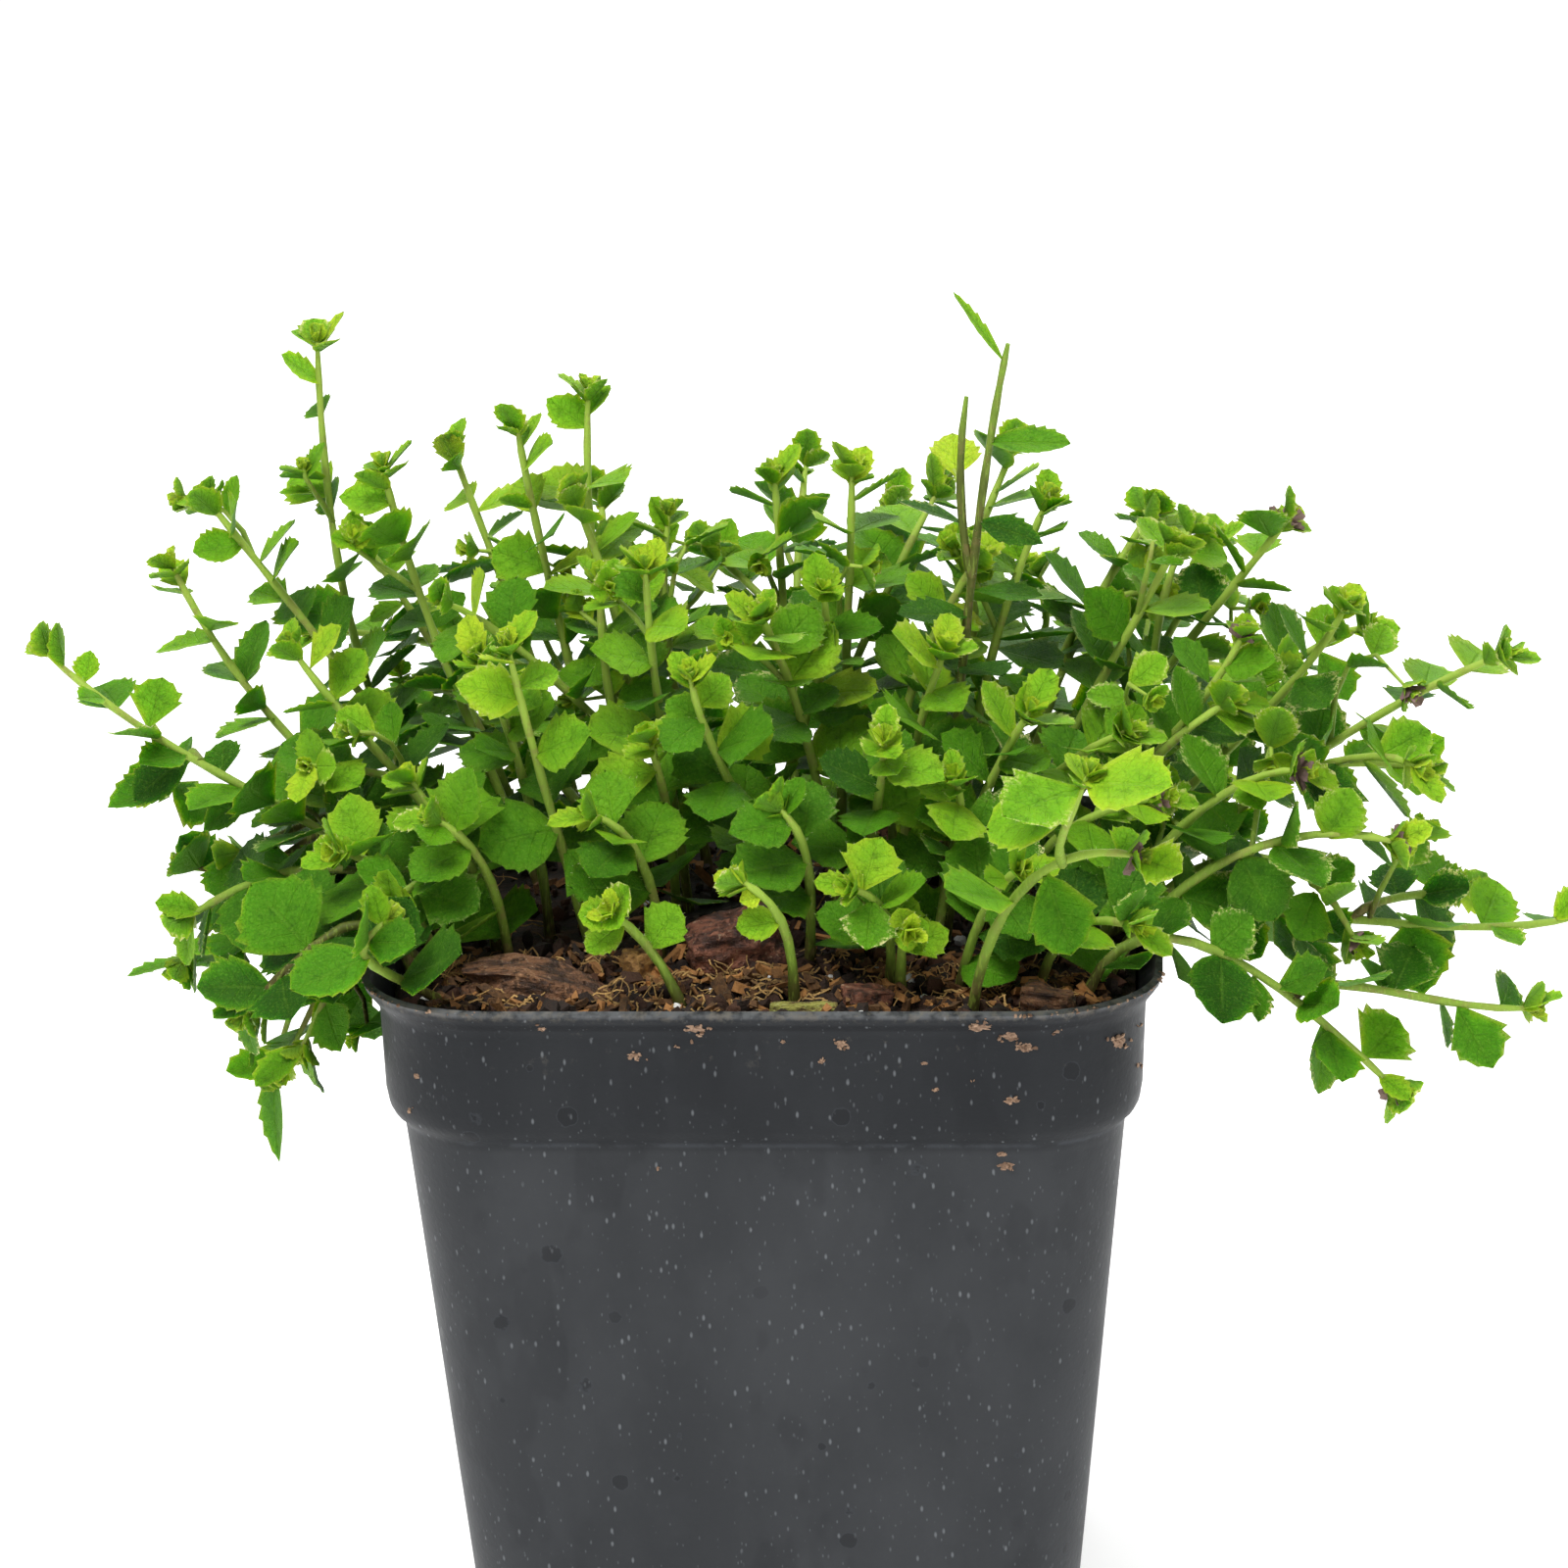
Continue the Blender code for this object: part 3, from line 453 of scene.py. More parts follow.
def roundSquare(half, radius, z, steps):  # anticlockwise seen from above
    points = []
    for corner in range(4):
        middle = math.radians(45 + 90 * corner)
        centre = Vector((math.cos(middle), math.sin(middle))) * (half - radius) * math.sqrt(2)
        for step in range(steps + 1):
            turn = math.radians(90 * corner + 90 * step / steps)
            x, y = centre.x + radius * math.cos(turn), centre.y + radius * math.sin(turn)
            points.append(Vector((x, y, z)))
    return points


def ringEdges(bm, ring):
    return [bm.edges.get((ring[i - 1], ring[i])) for i in range(len(ring))]


def nextRing(bm, ring):  # a ring that is extruded from another
    made = bmesh.ops.extrude_edge_only(bm, edges=ringEdges(bm, ring))["geom"]
    fresh = {item for item in made if isinstance(item, bmesh.types.BMVert)}
    return [next(e.other_vert(v) for e in v.link_edges if e.other_vert(v) in fresh) for v in ring]


def loft(bm, rings):  # a closed ring of vertices, extruded and reshaped up the others
    ring = bmesh.ops.create_circle(bm, segments=len(rings[0]), radius=1)["verts"]
    for vert, point in zip(ring, rings[0]):
        vert.co = point
    bmesh.ops.contextual_create(bm, geom=ringEdges(bm, ring))
    for points in rings[1:]:
        ring = nextRing(bm, ring)
        for vert, point in zip(ring, points):
            vert.co = point
    return ring


def makePot():
    bm = newMesh()
    loft(bm, [roundSquare(half, radius, z, pot["cornerSteps"]) for z, half, radius in pot["rings"]])
    bmesh.ops.recalc_face_normals(bm, faces=bm.faces)
    bmesh.ops.solidify(bm, geom=bm.faces[:], thickness=pot["wall"])
    shell = finished(bm, "potShell", ["pot"], ["pot"])
    sizes = {"segments": 32, "depth": 6, "radius1": pot["drainRadius"], "radius2": pot["drainRadius"]}
    drills = []
    for sx, sy in ((-1, -1), (-1, 1), (1, -1), (1, 1)):
        bm = bmesh.new()
        place = Matrix.Translation((sx * pot["drainOffset"], sy * pot["drainOffset"], 0))
        bmesh.ops.create_cone(bm, cap_ends=True, matrix=Matrix.Scale(mm, 4) @ place, **sizes)
        drills.append(shown("drill", meshOf(bm, "drill")))
        shell.modifiers.new("drain", "BOOLEAN").object = drills[-1]
    keepModified(shell)
    for drill in drills:
        bpy.data.objects.remove(drill)
    return shell


def keepModified(piece):
    graph = bpy.context.evaluated_depsgraph_get()
    graph.update()
    mesh = bpy.data.meshes.new_from_object(piece.evaluated_get(graph))
    piece.modifiers.clear()
    piece.data = mesh


potShell = makePot()
print("pot:", len(potShell.data.polygons), "faces")


# Potting mix, with loose peat, bark and fibre on it

mix = {
    "level": 85.4, "mound": 2.6, "reach": 43.0, "edge": 42.9, "corner": 13.0,
    "front": -22.0,  # the stretch that the photo shows best
    "crumbs": 2300, "crumbSize": (0.5, 3.0, 0.8), "slivers": 620, "sliverLength": (0.8, 3.8, 1.3),
    "fibres": 330, "fibreRadius": (0.05, 0.14), "fibreStep": 0.85, "perlite": 34, "perliteSize": (0.8, 1.9),
}


def soilHeight(x, y):
    mound = mix["mound"] * max(0.0, 1 - (x * x + y * y) / mix["reach"] ** 2)
    lumps = 0.55 * math.sin(0.41 * x + 0.9) * math.cos(0.37 * y - 0.4)
    crumbs = 0.4 * math.sin(0.93 * x - 0.71 * y) + 0.3 * math.cos(1.1 * y + 0.5 * x)
    return mix["level"] + mound + lumps + crumbs


def inPot(x, y, room):  # whether a point of the mix's top is inside the pot's wall
    flat = mix["edge"] - mix["corner"]
    over = Vector((max(abs(x) - flat, 0), max(abs(y) - flat, 0)))
    return over.length < mix["corner"] - room


barkTrees = [
    BVHTree.FromPolygons(*nodeMesh(node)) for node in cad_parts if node.startswith(("bark_", "mossy"))
]


def inMix(point, lift):  # whether a point is under the mix, or less than a lift above it
    return inPot(point.x, point.y, 0) and point.z < soilHeight(point.x, point.y) + lift


def underBark(x, y):  # whether a bark piece lies over a spot of the mix
    return any(tree.ray_cast(Vector((x, y, 120)), -up)[0] for tree in barkTrees)


def spotOnMix(draw, room, frontShare):  # a random spot, more often at the front, which the photo shows
    while True:
        front = draw.random() < frontShare
        x = draw.uniform(-mix["edge"], mix["edge"])
        y = draw.uniform(-mix["edge"], mix["front"] if front else mix["edge"])
        if inPot(x, y, room) and not underBark(x, y):
            return x, y


def jitter(draw, x, y, z):  # a random vector, up to these parts each way
    return Vector((draw.uniform(-x, x), draw.uniform(-y, y), draw.uniform(-z, z)))


def drift(draw, x, y, z):  # the same, but short ones are the most common
    return Vector((draw.gauss(0, x), draw.gauss(0, y), draw.gauss(0, z)))


def addGrain(bm, draw, place, size, tint, rough=0.35, faces=1):  # an uneven lump of three sizes
    turn = Quaternion(jitter(draw, 1, 1, 1), draw.uniform(0, 6))
    made = bmesh.ops.create_icosphere(bm, subdivisions=faces, radius=0.5)["verts"]
    for vert in made:
        vert.co *= 1 + rough * draw.uniform(-1, 1)
    shape = Matrix.Diagonal((*size, 1))
    bmesh.ops.transform(bm, matrix=Matrix.Translation(place) @ turn.to_matrix().to_4x4() @ shape, verts=made)
    tinted(bm, made, (tint, draw.random(), draw.random(), 0))


def makeCrumbs():
    draw = random.Random(11)
    bm = newMesh()
    for _ in range(mix["crumbs"]):
        x, y = spotOnMix(draw, 1.2, 0.6)
        size = draw.triangular(*mix["crumbSize"])
        shape = [size * draw.uniform(0.6, 1.25) for _ in range(3)]
        addGrain(bm, draw, Vector((x, y, soilHeight(x, y) + size * 0.18)), shape, draw.random() ** 2.6)
    finished(bm, "peatCrumbs", ["crumb"])


def makeSlivers():  # flat splinters of bark, most of them lying down
    draw = random.Random(12)
    bm = newMesh()
    for _ in range(mix["slivers"]):
        x, y = spotOnMix(draw, 2.4, 0.7)
        length = draw.triangular(*mix["sliverLength"])
        turn = Matrix.Rotation(draw.uniform(0, 2 * math.pi), 4, "Z")
        tilt = Matrix.Rotation(draw.gauss(0, 0.5), 4, "Y") @ Matrix.Rotation(draw.gauss(0, 0.8), 4, "X")
        made = bmesh.ops.create_cube(bm, size=1)["verts"]
        for vert in made:
            vert.co += jitter(draw, 0.2, 0.3, 0.2)
        shape = Matrix.Diagonal((length, length * draw.uniform(0.18, 0.45), draw.uniform(0.3, 0.8), 1))
        place = Matrix.Translation((x, y, soilHeight(x, y) + draw.uniform(0.5, 1.3)))
        bmesh.ops.transform(bm, matrix=place @ turn @ tilt @ shape, verts=made)
        tinted(bm, made, (draw.random() ** 1.9, draw.random(), draw.random(), 0))
    finished(bm, "barkSlivers", ["sliver"], smooth=25)


def addFibre(bm, draw, path, radii):  # one thin straw, where its path is long enough
    if len(path) > 2:
        radius = draw.uniform(*radii)
        growTube(bm, path, [radius] * len(path), 3, [(draw.random(), 0, 0, 0)] * len(path))


def makeFibres():  # straw-like fibres that curl over the mix
    draw = random.Random(13)
    bm = newMesh()
    for _ in range(mix["fibres"]):
        x, y = spotOnMix(draw, 5.0, 0.8)
        heading = draw.uniform(0, 2 * math.pi)
        path = []
        for step in range(7):
            path.append(Vector((x, y, soilHeight(x, y) + 0.7 + draw.uniform(0, 0.8))))
            heading += draw.gauss(0, 0.55)
            x += math.cos(heading) * mix["fibreStep"]
            y += math.sin(heading) * mix["fibreStep"]
            if not inPot(x, y, 1.5):
                break
        addFibre(bm, draw, path, mix["fibreRadius"])
    finished(bm, "strawFibres", ["fibre"])


def makePerlite():
    draw = random.Random(14)
    bm = newMesh()
    for _ in range(mix["perlite"]):
        x, y = spotOnMix(draw, 2.0, 0.7)
        size = draw.uniform(*mix["perliteSize"])
        shape = (size, size * 0.85, size * 0.8)
        addGrain(bm, draw, Vector((x, y, soilHeight(x, y) + size * 0.35)), shape, draw.random(), 0.2, 2)
    finished(bm, "perliteGrains", ["perlite"])


def growTube(bm, path, radii, sides, tints):  # a round stalk with closed ends, along points
    ring = bmesh.ops.create_circle(bm, cap_ends=False, segments=sides, radius=1)["verts"]
    circle = [vert.co.copy() for vert in ring]
    way = (path[1] - path[0]).normalized()
    turn = way.to_track_quat("Z", "Y")
    loops = []
    for i, centre in enumerate(path):
        ahead = (path[min(i + 1, len(path) - 1)] - path[max(i - 1, 0)]).normalized()
        turn = way.rotation_difference(ahead) @ turn
        way = ahead
        if i:
            ring = nextRing(bm, ring)
        for vert, spot in zip(ring, circle):
            vert.co = centre + turn @ (spot * radii[i])
        tinted(bm, ring, tints[i])
        loops.append(ring)
    for ring in (loops[0], loops[-1]):
        bmesh.ops.contextual_create(bm, geom=ringEdges(bm, ring))
    faces = list({face for ring in loops for vert in ring for face in vert.link_faces})
    bmesh.ops.recalc_face_normals(bm, faces=faces)


makeCrumbs()
makeSlivers()
makeFibres()
makePerlite()
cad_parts["potting_mix"].data.materials.clear()
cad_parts["potting_mix"].data.materials.append(finishes["mix"])
print("mix: crumbs, slivers, fibres and perlite")


# Single things on the mix and the pot, each at its place in the photo

litter = {
    "perlite": ((818, 927, 2.2), (784, 993, 1.3), (770, 1026, 1.5), (943, 1020, 0.9), (512, 1011, 1.0)),
    "root": ((897, 984), (901, 996), (909, 1005), (918, 1011), (925, 1019)),
    "straw": ((572, 1006), (580, 1017), (592, 1024), (604, 1025), (614, 1023), (624, 1028)),
    "tangles": (  # pixel, how far they spread and how many fibres
        (722, 990, 2.6, 60), (748, 1004, 2.4, 40), (668, 1016, 1.6, 14), (480, 1006, 2.6, 26),
        (1010, 1018, 2.0, 18),
    ),
    "dirt": (  # pixel, how far it spreads and how many grains
        (647, 1077, 0.8, 7), (425, 1098, 0.5, 4), (418, 1132, 0.35, 3), (710, 1050, 1.6, 9),
        (858, 1065, 1.1, 7), (799, 1063, 0.4, 3), (943, 1085, 0.45, 3), (955, 1112, 0.45, 3),
        (993, 1103, 0.3, 2), (552, 1050, 0.6, 3), (1000, 1048, 1.8, 12), (1030, 1057, 1.2, 8),
        (1046, 1068, 1.2, 7), (1078, 1053, 0.5, 3), (1142, 1064, 1.3, 12), (1032, 1123, 0.9, 6),
        (1026, 1190, 0.9, 10), (1022, 1178, 0.6, 4), (838, 1083, 0.5, 3), (437, 1033, 0.3, 2),
        (1164, 1046, 0.4, 3), (1165, 1088, 0.6, 5), (1163, 1137, 0.4, 3), (690, 1068, 0.3, 2),
        (672, 1192, 0.25, 2),
    ),
    "tangleRadius": (0.05, 0.11), "leastSmear": 0.34, "pixelsPerSpread": 8.75, "lipTop": 88.2,
    "rimGrains": 260,
}


def spotSeen(px, py, tree):  # the place and the normal that a pixel shows on a surface
    here, way = sightOf(px, py)
    return tree.ray_cast(here, way)[:2]


def addSmear(bm, draw, spot, normal, size):  # a flat, ragged patch on a wall
    made = bmesh.ops.create_icosphere(bm, subdivisions=3, radius=0.5)["verts"]
    shape = Matrix.Diagonal((size * draw.uniform(0.9, 1.3), size * draw.uniform(0.5, 0.8), 0.22, 1))
    turn = normal.to_track_quat("Z", "Y").to_matrix().to_4x4()
    for vert in made:
        ragged = noise.fractal(vert.co * 3.2 + spot, 1.0, 2.0, 4)
        vert.co *= 0.78 + 0.75 * ragged
        tinted(bm, [vert], (0.5 + 1.1 * noise.noise(vert.co * 5 + spot), draw.random(), draw.random(), 0))
    bmesh.ops.transform(bm, matrix=Matrix.Translation(spot) @ turn @ shape, verts=made)


def makeDirt():  # dried peat that sticks to the pot's wall and its rim
    draw = random.Random(15)
    potTree = BVHTree.FromPolygons(*shapeOf(potShell.data))
    bm = newMesh()
    for px, py, spread, count in litter["dirt"]:
        spot, normal = spotSeen(px, py, potTree)
        if spot and spread > litter["leastSmear"]:
            addSmear(bm, draw, spot, normal, spread * 1.5)
        for _ in range(count):
            reach = spread * litter["pixelsPerSpread"]
            seen = px + draw.gauss(0, reach * 0.5), py + draw.gauss(0, reach * 0.35)
            spot, normal = spotSeen(*seen, potTree)
            if spot and spot.z < litter["lipTop"]:
                size = draw.uniform(0.35, 0.9) * min(1.0, 0.5 + spread * 0.4)
                shape = (size, size * draw.uniform(0.5, 1.1), size * 0.5)
                addGrain(bm, draw, spot + normal * size * 0.06, shape, draw.random(), 0.35)
    rim = roundSquare(45.75, 15.9, 88.0, 40)
    for _ in range(litter["rimGrains"]):
        spot = draw.choice(rim) + Vector((draw.gauss(0, 0.3), draw.gauss(0, 0.3), 0))
        size = draw.triangular(0.16, 0.7, 0.2)
        addGrain(bm, draw, spot, (size, size, size * 0.6), draw.random(), 0.35)
    finished(bm, "driedPeat", ["dirt"])


def makeLitter():
    draw = random.Random(16)
    mixTree = BVHTree.FromPolygons(*nodeMesh("potting_mix"))
    bm = newMesh()
    for px, py, size in litter["perlite"]:
        spot = spotSeen(px, py, mixTree)[0]
        if spot:
            shape = (size, size * 0.85, size * 0.8)
            addGrain(bm, draw, spot + up * size * 0.35, shape, draw.random(), 0.16, 2)
    finished(bm, "perliteLumps", ["perlite"])
    bm = newMesh()
    for name, radius, lift in (("root", 0.27, 0.9), ("straw", 0.2, 0.7)):
        path = [spotSeen(px, py, mixTree)[0] for px, py in litter[name]]
        path = [spot + up * (lift + draw.uniform(0, 0.5)) for spot in path if spot]
        growTube(bm, path, [radius * draw.uniform(0.8, 1.2) for _ in path], 7, [(1.0, 0, 0, 0)] * len(path))
    for px, py, spread, count in litter["tangles"]:
        middle = spotSeen(px, py, mixTree)[0]
        for _ in range(count if middle else 0):
            aside, back = draw.gauss(0, spread * 0.5), draw.gauss(0, spread * 0.4)
            spot = middle + Vector((aside, back, draw.uniform(0.4, 1.6)))
            way = drift(draw, 1, 1, 0.35).normalized()
            path = []
            for _ in range(6):
                if inPot(spot.x, spot.y, 1.0):
                    path.append(spot.copy())
                way = (way + drift(draw, 0.4, 0.4, 0.25)).normalized()
                spot = spot + way * 0.6
                spot.z = max(spot.z, soilHeight(spot.x, spot.y) + 0.3)
            addFibre(bm, draw, path, litter["tangleRadius"])
    finished(bm, "rootAndStraw", ["fibre"])


makeDirt()
makeLitter()
print("litter:", len(litter["dirt"]), "patches of dried peat")


# Bark and the mossy twig, roughened over their solids

barks = {  # node: finish, heading of its grain, how far its skin is broken up
    "bark_long": ("bark", -14, 0.55), "bark_red": ("redBark", 18, 0.75), "bark_front": ("redBark", 30, 0.4),
    "bark_gold": ("goldBark", 50, 0.5), "bark_right": ("bark", -14, 0.4), "bark_back": ("bark", 65, 0.5),
    "mossy_twig": ("moss", 0, 0.16),
}


def makeBarkPiece(node, finish, heading, rough):
    bm = newMesh()
    bm.from_mesh(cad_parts[node].data)
    bmesh.ops.remove_doubles(bm, verts=bm.verts, dist=0.00001)
    bmesh.ops.scale(bm, vec=(1 / mm, 1 / mm, 1 / mm), verts=bm.verts)
    bmesh.ops.subdivide_edges(bm, edges=bm.edges, cuts=3, use_grid_fill=True, smooth=0.25)
    bmesh.ops.triangulate(bm, faces=bm.faces)
    bmesh.ops.subdivide_edges(bm, edges=bm.edges, cuts=1, use_grid_fill=True)
    bm.normal_update()
    turn = Matrix.Rotation(math.radians(-heading), 3, "Z")
    moves = []
    for vert in bm.verts:
        here = turn @ vert.co
        ridge = noise.noise(Vector((here.x * 0.22, here.y * 0.7, here.z * 0.7)))
        flake = noise.noise(Vector((here.x * 0.6, here.y * 1.1, here.z * 1.0)) + Vector((9, 4, 2)))
        chip = noise.noise(here * 1.7)
        moves.append(vert.normal * rough * (ridge * 1.2 + flake * 0.5 + chip * 0.3 - 0.15))
    for vert, move in zip(bm.verts, moves):
        vert.co += move
    name = node.replace("_", "")
    finished(bm, name + "Skin", [finish], [node], 50)


for node, (finish, heading, rough) in barks.items():
    makeBarkPiece(node, finish, heading, rough)
print("bark:", len(barks), "pieces")


# Plant: the same stems and leaves as the solids, found in the same way, and then more

growth = {
    "stemRadius": (0.78, 0.5), "shootShare": 0.85, "rootDepth": 4.0, "creep": 45.0, "segment": 12.0,
    "bladeDepth": 0.66, "keelShare": 0.24, "keelPlace": 0.47, "fold": 0.2,
    "leaf": (10.0, 0.94), "tip": (5.2, 0.72), "youngShrink": 0.36,
    "toothed": ((0.19, 0.50), (0.43, 1.0), (0.57, 0.86), (0.79, 0.72)), "plain": ((0.36, 1.0), (0.70, 0.66)),
    "frontLight": Vector((0, -0.35, 0)), "outward": 0.55, "wobble": 0.3,
    "mainDress": (0.34, (0.955, 0.99)), "shootDress": (0.45, (0.98,)), "lastLeaf": 0.9,
    "leafTurn": 34, "leafLeans": (56, 84), "leafSizes": (0.88, 1.1), "leafBreadths": (0.86, 1.06),
    "tipTurn": 30, "tipLeans": (30, 58), "tipSizes": (0.85, 1.15),
    "tries": 30, "wander": 3.5, "wanderStep": 0.5, "tipDrift": 0.03,
    "turns": (0, 24, -24, 48, -48, 74, -74, 100), "turnShrink": 0.035,
    "stemGuard": 0.5, "leafGuard": 0.32, "shellSides": 5, "shellRoom": 1.24,
}

# Each stem: root x and y, tip, rise, bow and leaves, then its side shoots
stems = (
    ((19.5, -3), (28.5, -8, 157), 16, -22, 0, (0.6, (23.5, -4, 150), -10, 0)),
    ((-37, -8), (-93, 2, 115), 12, -26, 6, (0.66, (-76, 10, 99), -6, 2)),
    ((-33, 14), (-56, 22, 152), 4, -42, 5),
    ((24, -38), (43.5, -54, 109), 16, 1, 0, (0.68, (38, -57, 119), -8, 0)),
    ((-20, -17), (-28.5, -26, 126), 9, -20, 1),
    ((-35, 6), (-74, 15, 126), 8, -24, 6),
    ((-34, 19), (-70, 20, 133), 12, -10, 4),
    ((36.5, -8.5), (86, -8, 120), 9, -7, 5, (0.5, (75, -21, 110), 3, 2)),
    ((33, -17), (95, -11, 89), 15, -4, 5, (0.62, (82, 2, 88), 2, 2)),
    ((36, -33), (73, -26, 72.5), 18, 14, 4, (0.72, (88.5, -20, 80.5), -2, 2)),
    ((-37, 26), (-65, 18, 60), 20, 30, 5),
    ((-36, 12), (-76, 18, 74), 18, 18, 5, (0.5, (-67, 9, 91), 0, 2)),
    ((-37.5, 0), (-67, 5, 80), 16, 14, 5, (0.4, (-62, -10, 76), 6, 3)),
    ((-7.5, -37.5), (-16, -42, 99), 7, -3, 2),
    ((4, -35.5), (-1.5, -41, 102.5), 8, -4, 1),
    ((1, -12), (-8, -22, 121), 18, -12, 4),
    ((8, -7), (-0.5, -12, 126), 18, -10, 4),
    ((15.5, -11), (21, -13, 122), 18, -10, 4),
    ((10.5, -20), (14.5, -28, 115), 14, -6, 4),
    ((19, -22), (22.5, -27, 110), 12, -6, 3),
    ((25, -12), (42, -20, 114), 16, -6, 4),
    ((29, -5), (55.5, -10, 123), 16, -10, 4),
    ((34, 1), (67.5, -5, 125), 12, -16, 4, (0.5, (60, 7, 114), -3, 2)),
    ((36, -21), (62, -23, 110), 12, 1, 4),
    ((38, -27), (73, -25, 102), 10, 2, 4),
    ((26, 4), (47.5, 4, 130), 18, -10, 3),
    ((28, 12), (61, 10, 132), 16, -14, 4, (0.5, (50, 16, 130), -6, 2), (0.3, (63, 31, 100), 3, 3)),
    ((21, 7), (32.5, 7, 135), 20, -14, 3),
    ((7, 8), (9.5, 6, 139), 22, -16, 4, (0.42, (19, 21, 133), -8, 3)),
    ((1, 22), (-1, 25, 134), 22, -14, 3),
    ((-9, 14), (-13.5, 18, 131), 20, -14, 3),
    ((-16, 19), (-23, 20, 146), 20, -24, 4),
    ((-20, 10), (-31, 13, 143), 20, -22, 4),
    ((-25, 29), (-42, 38, 135), 18, -16, 4, (0.4, (-59, 34, 113), -2, 3)),
    ((-28, 8), (-47.5, 14, 138), 14, -24, 4),
    ((-37, -23), (-49, -26, 101.5), 7, -4, 3, (0.4, (-42, -34, 98), -2, 2)),
    ((-32, -14), (-41, -19, 108), 12, -8, 4),
    ((-31, -4), (-57, -3, 120), 12, -14, 4, (0.5, (-54, -12, 108), -2, 2)),
    ((-15, -1), (-20, -2, 128), 18, -14, 4, (0.5, (-38, -9, 127), -4, 3)),
    ((39, 10), (78, 14, 100), 12, 4, 5),
    ((14.5, -31), (11, -38, 100.5), 7, -4, 3),
    ((31, -29.5), (43, -41, 97), 12, 1, 3),
)

# Leaves that are placed one by one: stem, share, direction, upper face, length, breadth
featured = {
    1: (
        (0, 0.965, (-6, -1.5, 9), (0.8, -0.3, 0.5), 11.0, 0.34),
        (0, 0.82, (9, -1.5, 0.4), (-0.1, -0.5, 1), 10.0, 0.66),
        (1, 0.4, (-8, -1, 3.6), (0.35, -0.2, 1), 8.6, 0.5),
        (0, 0.69, (7.4, -3, -1.6), (0.2, -0.8, 0.7), 8.6, 0.62),
        (0, 0.58, (8.4, -1, -0.4), (0, -0.3, 1), 8.8, 0.7),
        (0, 0.54, (-8, -3, 1), (0, -0.4, 1), 9.0, 0.8),
        (0, 0.46, (5, -8, 1), (0, -0.2, 1), 9.4, 0.9),
    ),
    4: (
        (0, 0.6, (3.4, -3, -8), (0.1, -1, 0.5), 9.4, 0.84),
        (0, 0.985, (4.5, -3, -0.5), (0.3, -0.9, 0.6), 6.4, 0.95),
        (1, 0.97, (7.5, -4, 0.4), (0.1, -0.55, 0.8), 10.6, 0.95),
        (1, 0.93, (-7, -5, -1.5), (-0.1, -0.6, 0.8), 10.2, 0.95),
        (1, 0.8, (-9, 3, -2.5), (-0.2, -0.6, 0.8), 10.8, 0.9),
        (0, 0.44, (-7, -6, 3), (-0.1, -0.5, 0.9), 10.4, 0.85),
    ),
    5: (
        (0, 0.5, (-8, -3.5, -0.8), (-0.1, -0.8, 0.6), 9.6, 0.98),
        (0, 0.44, (6.5, -4, -4.5), (0.2, -0.9, 0.4), 8.8, 0.9),
        (0, 0.72, (6.8, -3.5, 3.4), (0.1, -0.8, 0.7), 8.6, 0.86),
        (0, 0.86, (-7.4, -3, 3.4), (0, -0.8, 0.6), 8.2, 0.84),
    ),
    11: ((0, 0.985, (-0.6, -1.5, -9.5), (-0.8, -0.6, 0.1), 11.0, 0.5),),
}

rear = {
    "count": 8, "leaves": 4, "from": 24, "to": 140,
    "root": 31.0, "reach": (26.0, 48.0), "height": (96.0, 134.0),
}


class Space:  # what has its place already
    def __init__(self):
        self.taken = []

    def ballOf(self, points):
        centre = sum(points, Vector()) / len(points)
        return centre, max((p - centre).length for p in points)

    def add(self, points, faces, owner):
        self.taken.append((*self.ballOf(points), BVHTree.FromPolygons(points, faces), owner))

    def clear(self, points, faces, skip=()):
        centre, reach = self.ballOf(points)
        tree = BVHTree.FromPolygons(points, faces)
        for other, size, taken, owner in self.taken:
            if owner in skip or (other - centre).length > size + reach:
                continue
            if tree.overlap(taken):
                return False
        return True


def across(direction):  # two unit vectors square to a direction
    side = direction.cross(Vector((1, 0, 0)) if abs(direction.x) < 0.8 else Vector((0, 1, 0)))
    side.normalize()
    return side, direction.cross(side).normalized()


def tubeShell(route, radii, grown):
    points, faces, sides = [], [], growth["shellSides"]
    for i, centre in enumerate(route):
        along = (route[min(i + 1, len(route) - 1)] - route[max(i - 1, 0)]).normalized()
        u, v = across(along)
        for k in range(sides):
            a = 2 * math.pi * k / sides
            reach = radii[i] * growth["shellRoom"] + grown
            points.append(centre + (u * math.cos(a) + v * math.sin(a)) * reach)
    for i in range(len(route) - 1):
        for k in range(sides):
            a, b = i * sides + k, i * sides + (k + 1) % sides
            faces.append((a, b, b + sides, a + sides))
    faces.append(tuple(range(sides)))
    faces.append(tuple(range(len(points) - sides, len(points))))
    return points, faces


def bladeOutline(frameOf, base, length, width, teeth, grown=0.0):
    along, side, face = frameOf
    left = [(a * length, b * width / 2) for a, b in teeth]
    flat = [(-0.2 - grown, 0)] + left + [(length + grown, 0)] + [(a, -b) for a, b in reversed(left)]
    points = []
    for a, b in flat:
        b += grown * (b > 0) - grown * (b < 0)
        points.append(base + along * a + side * b + face * (growth["fold"] * abs(b)))
    return points


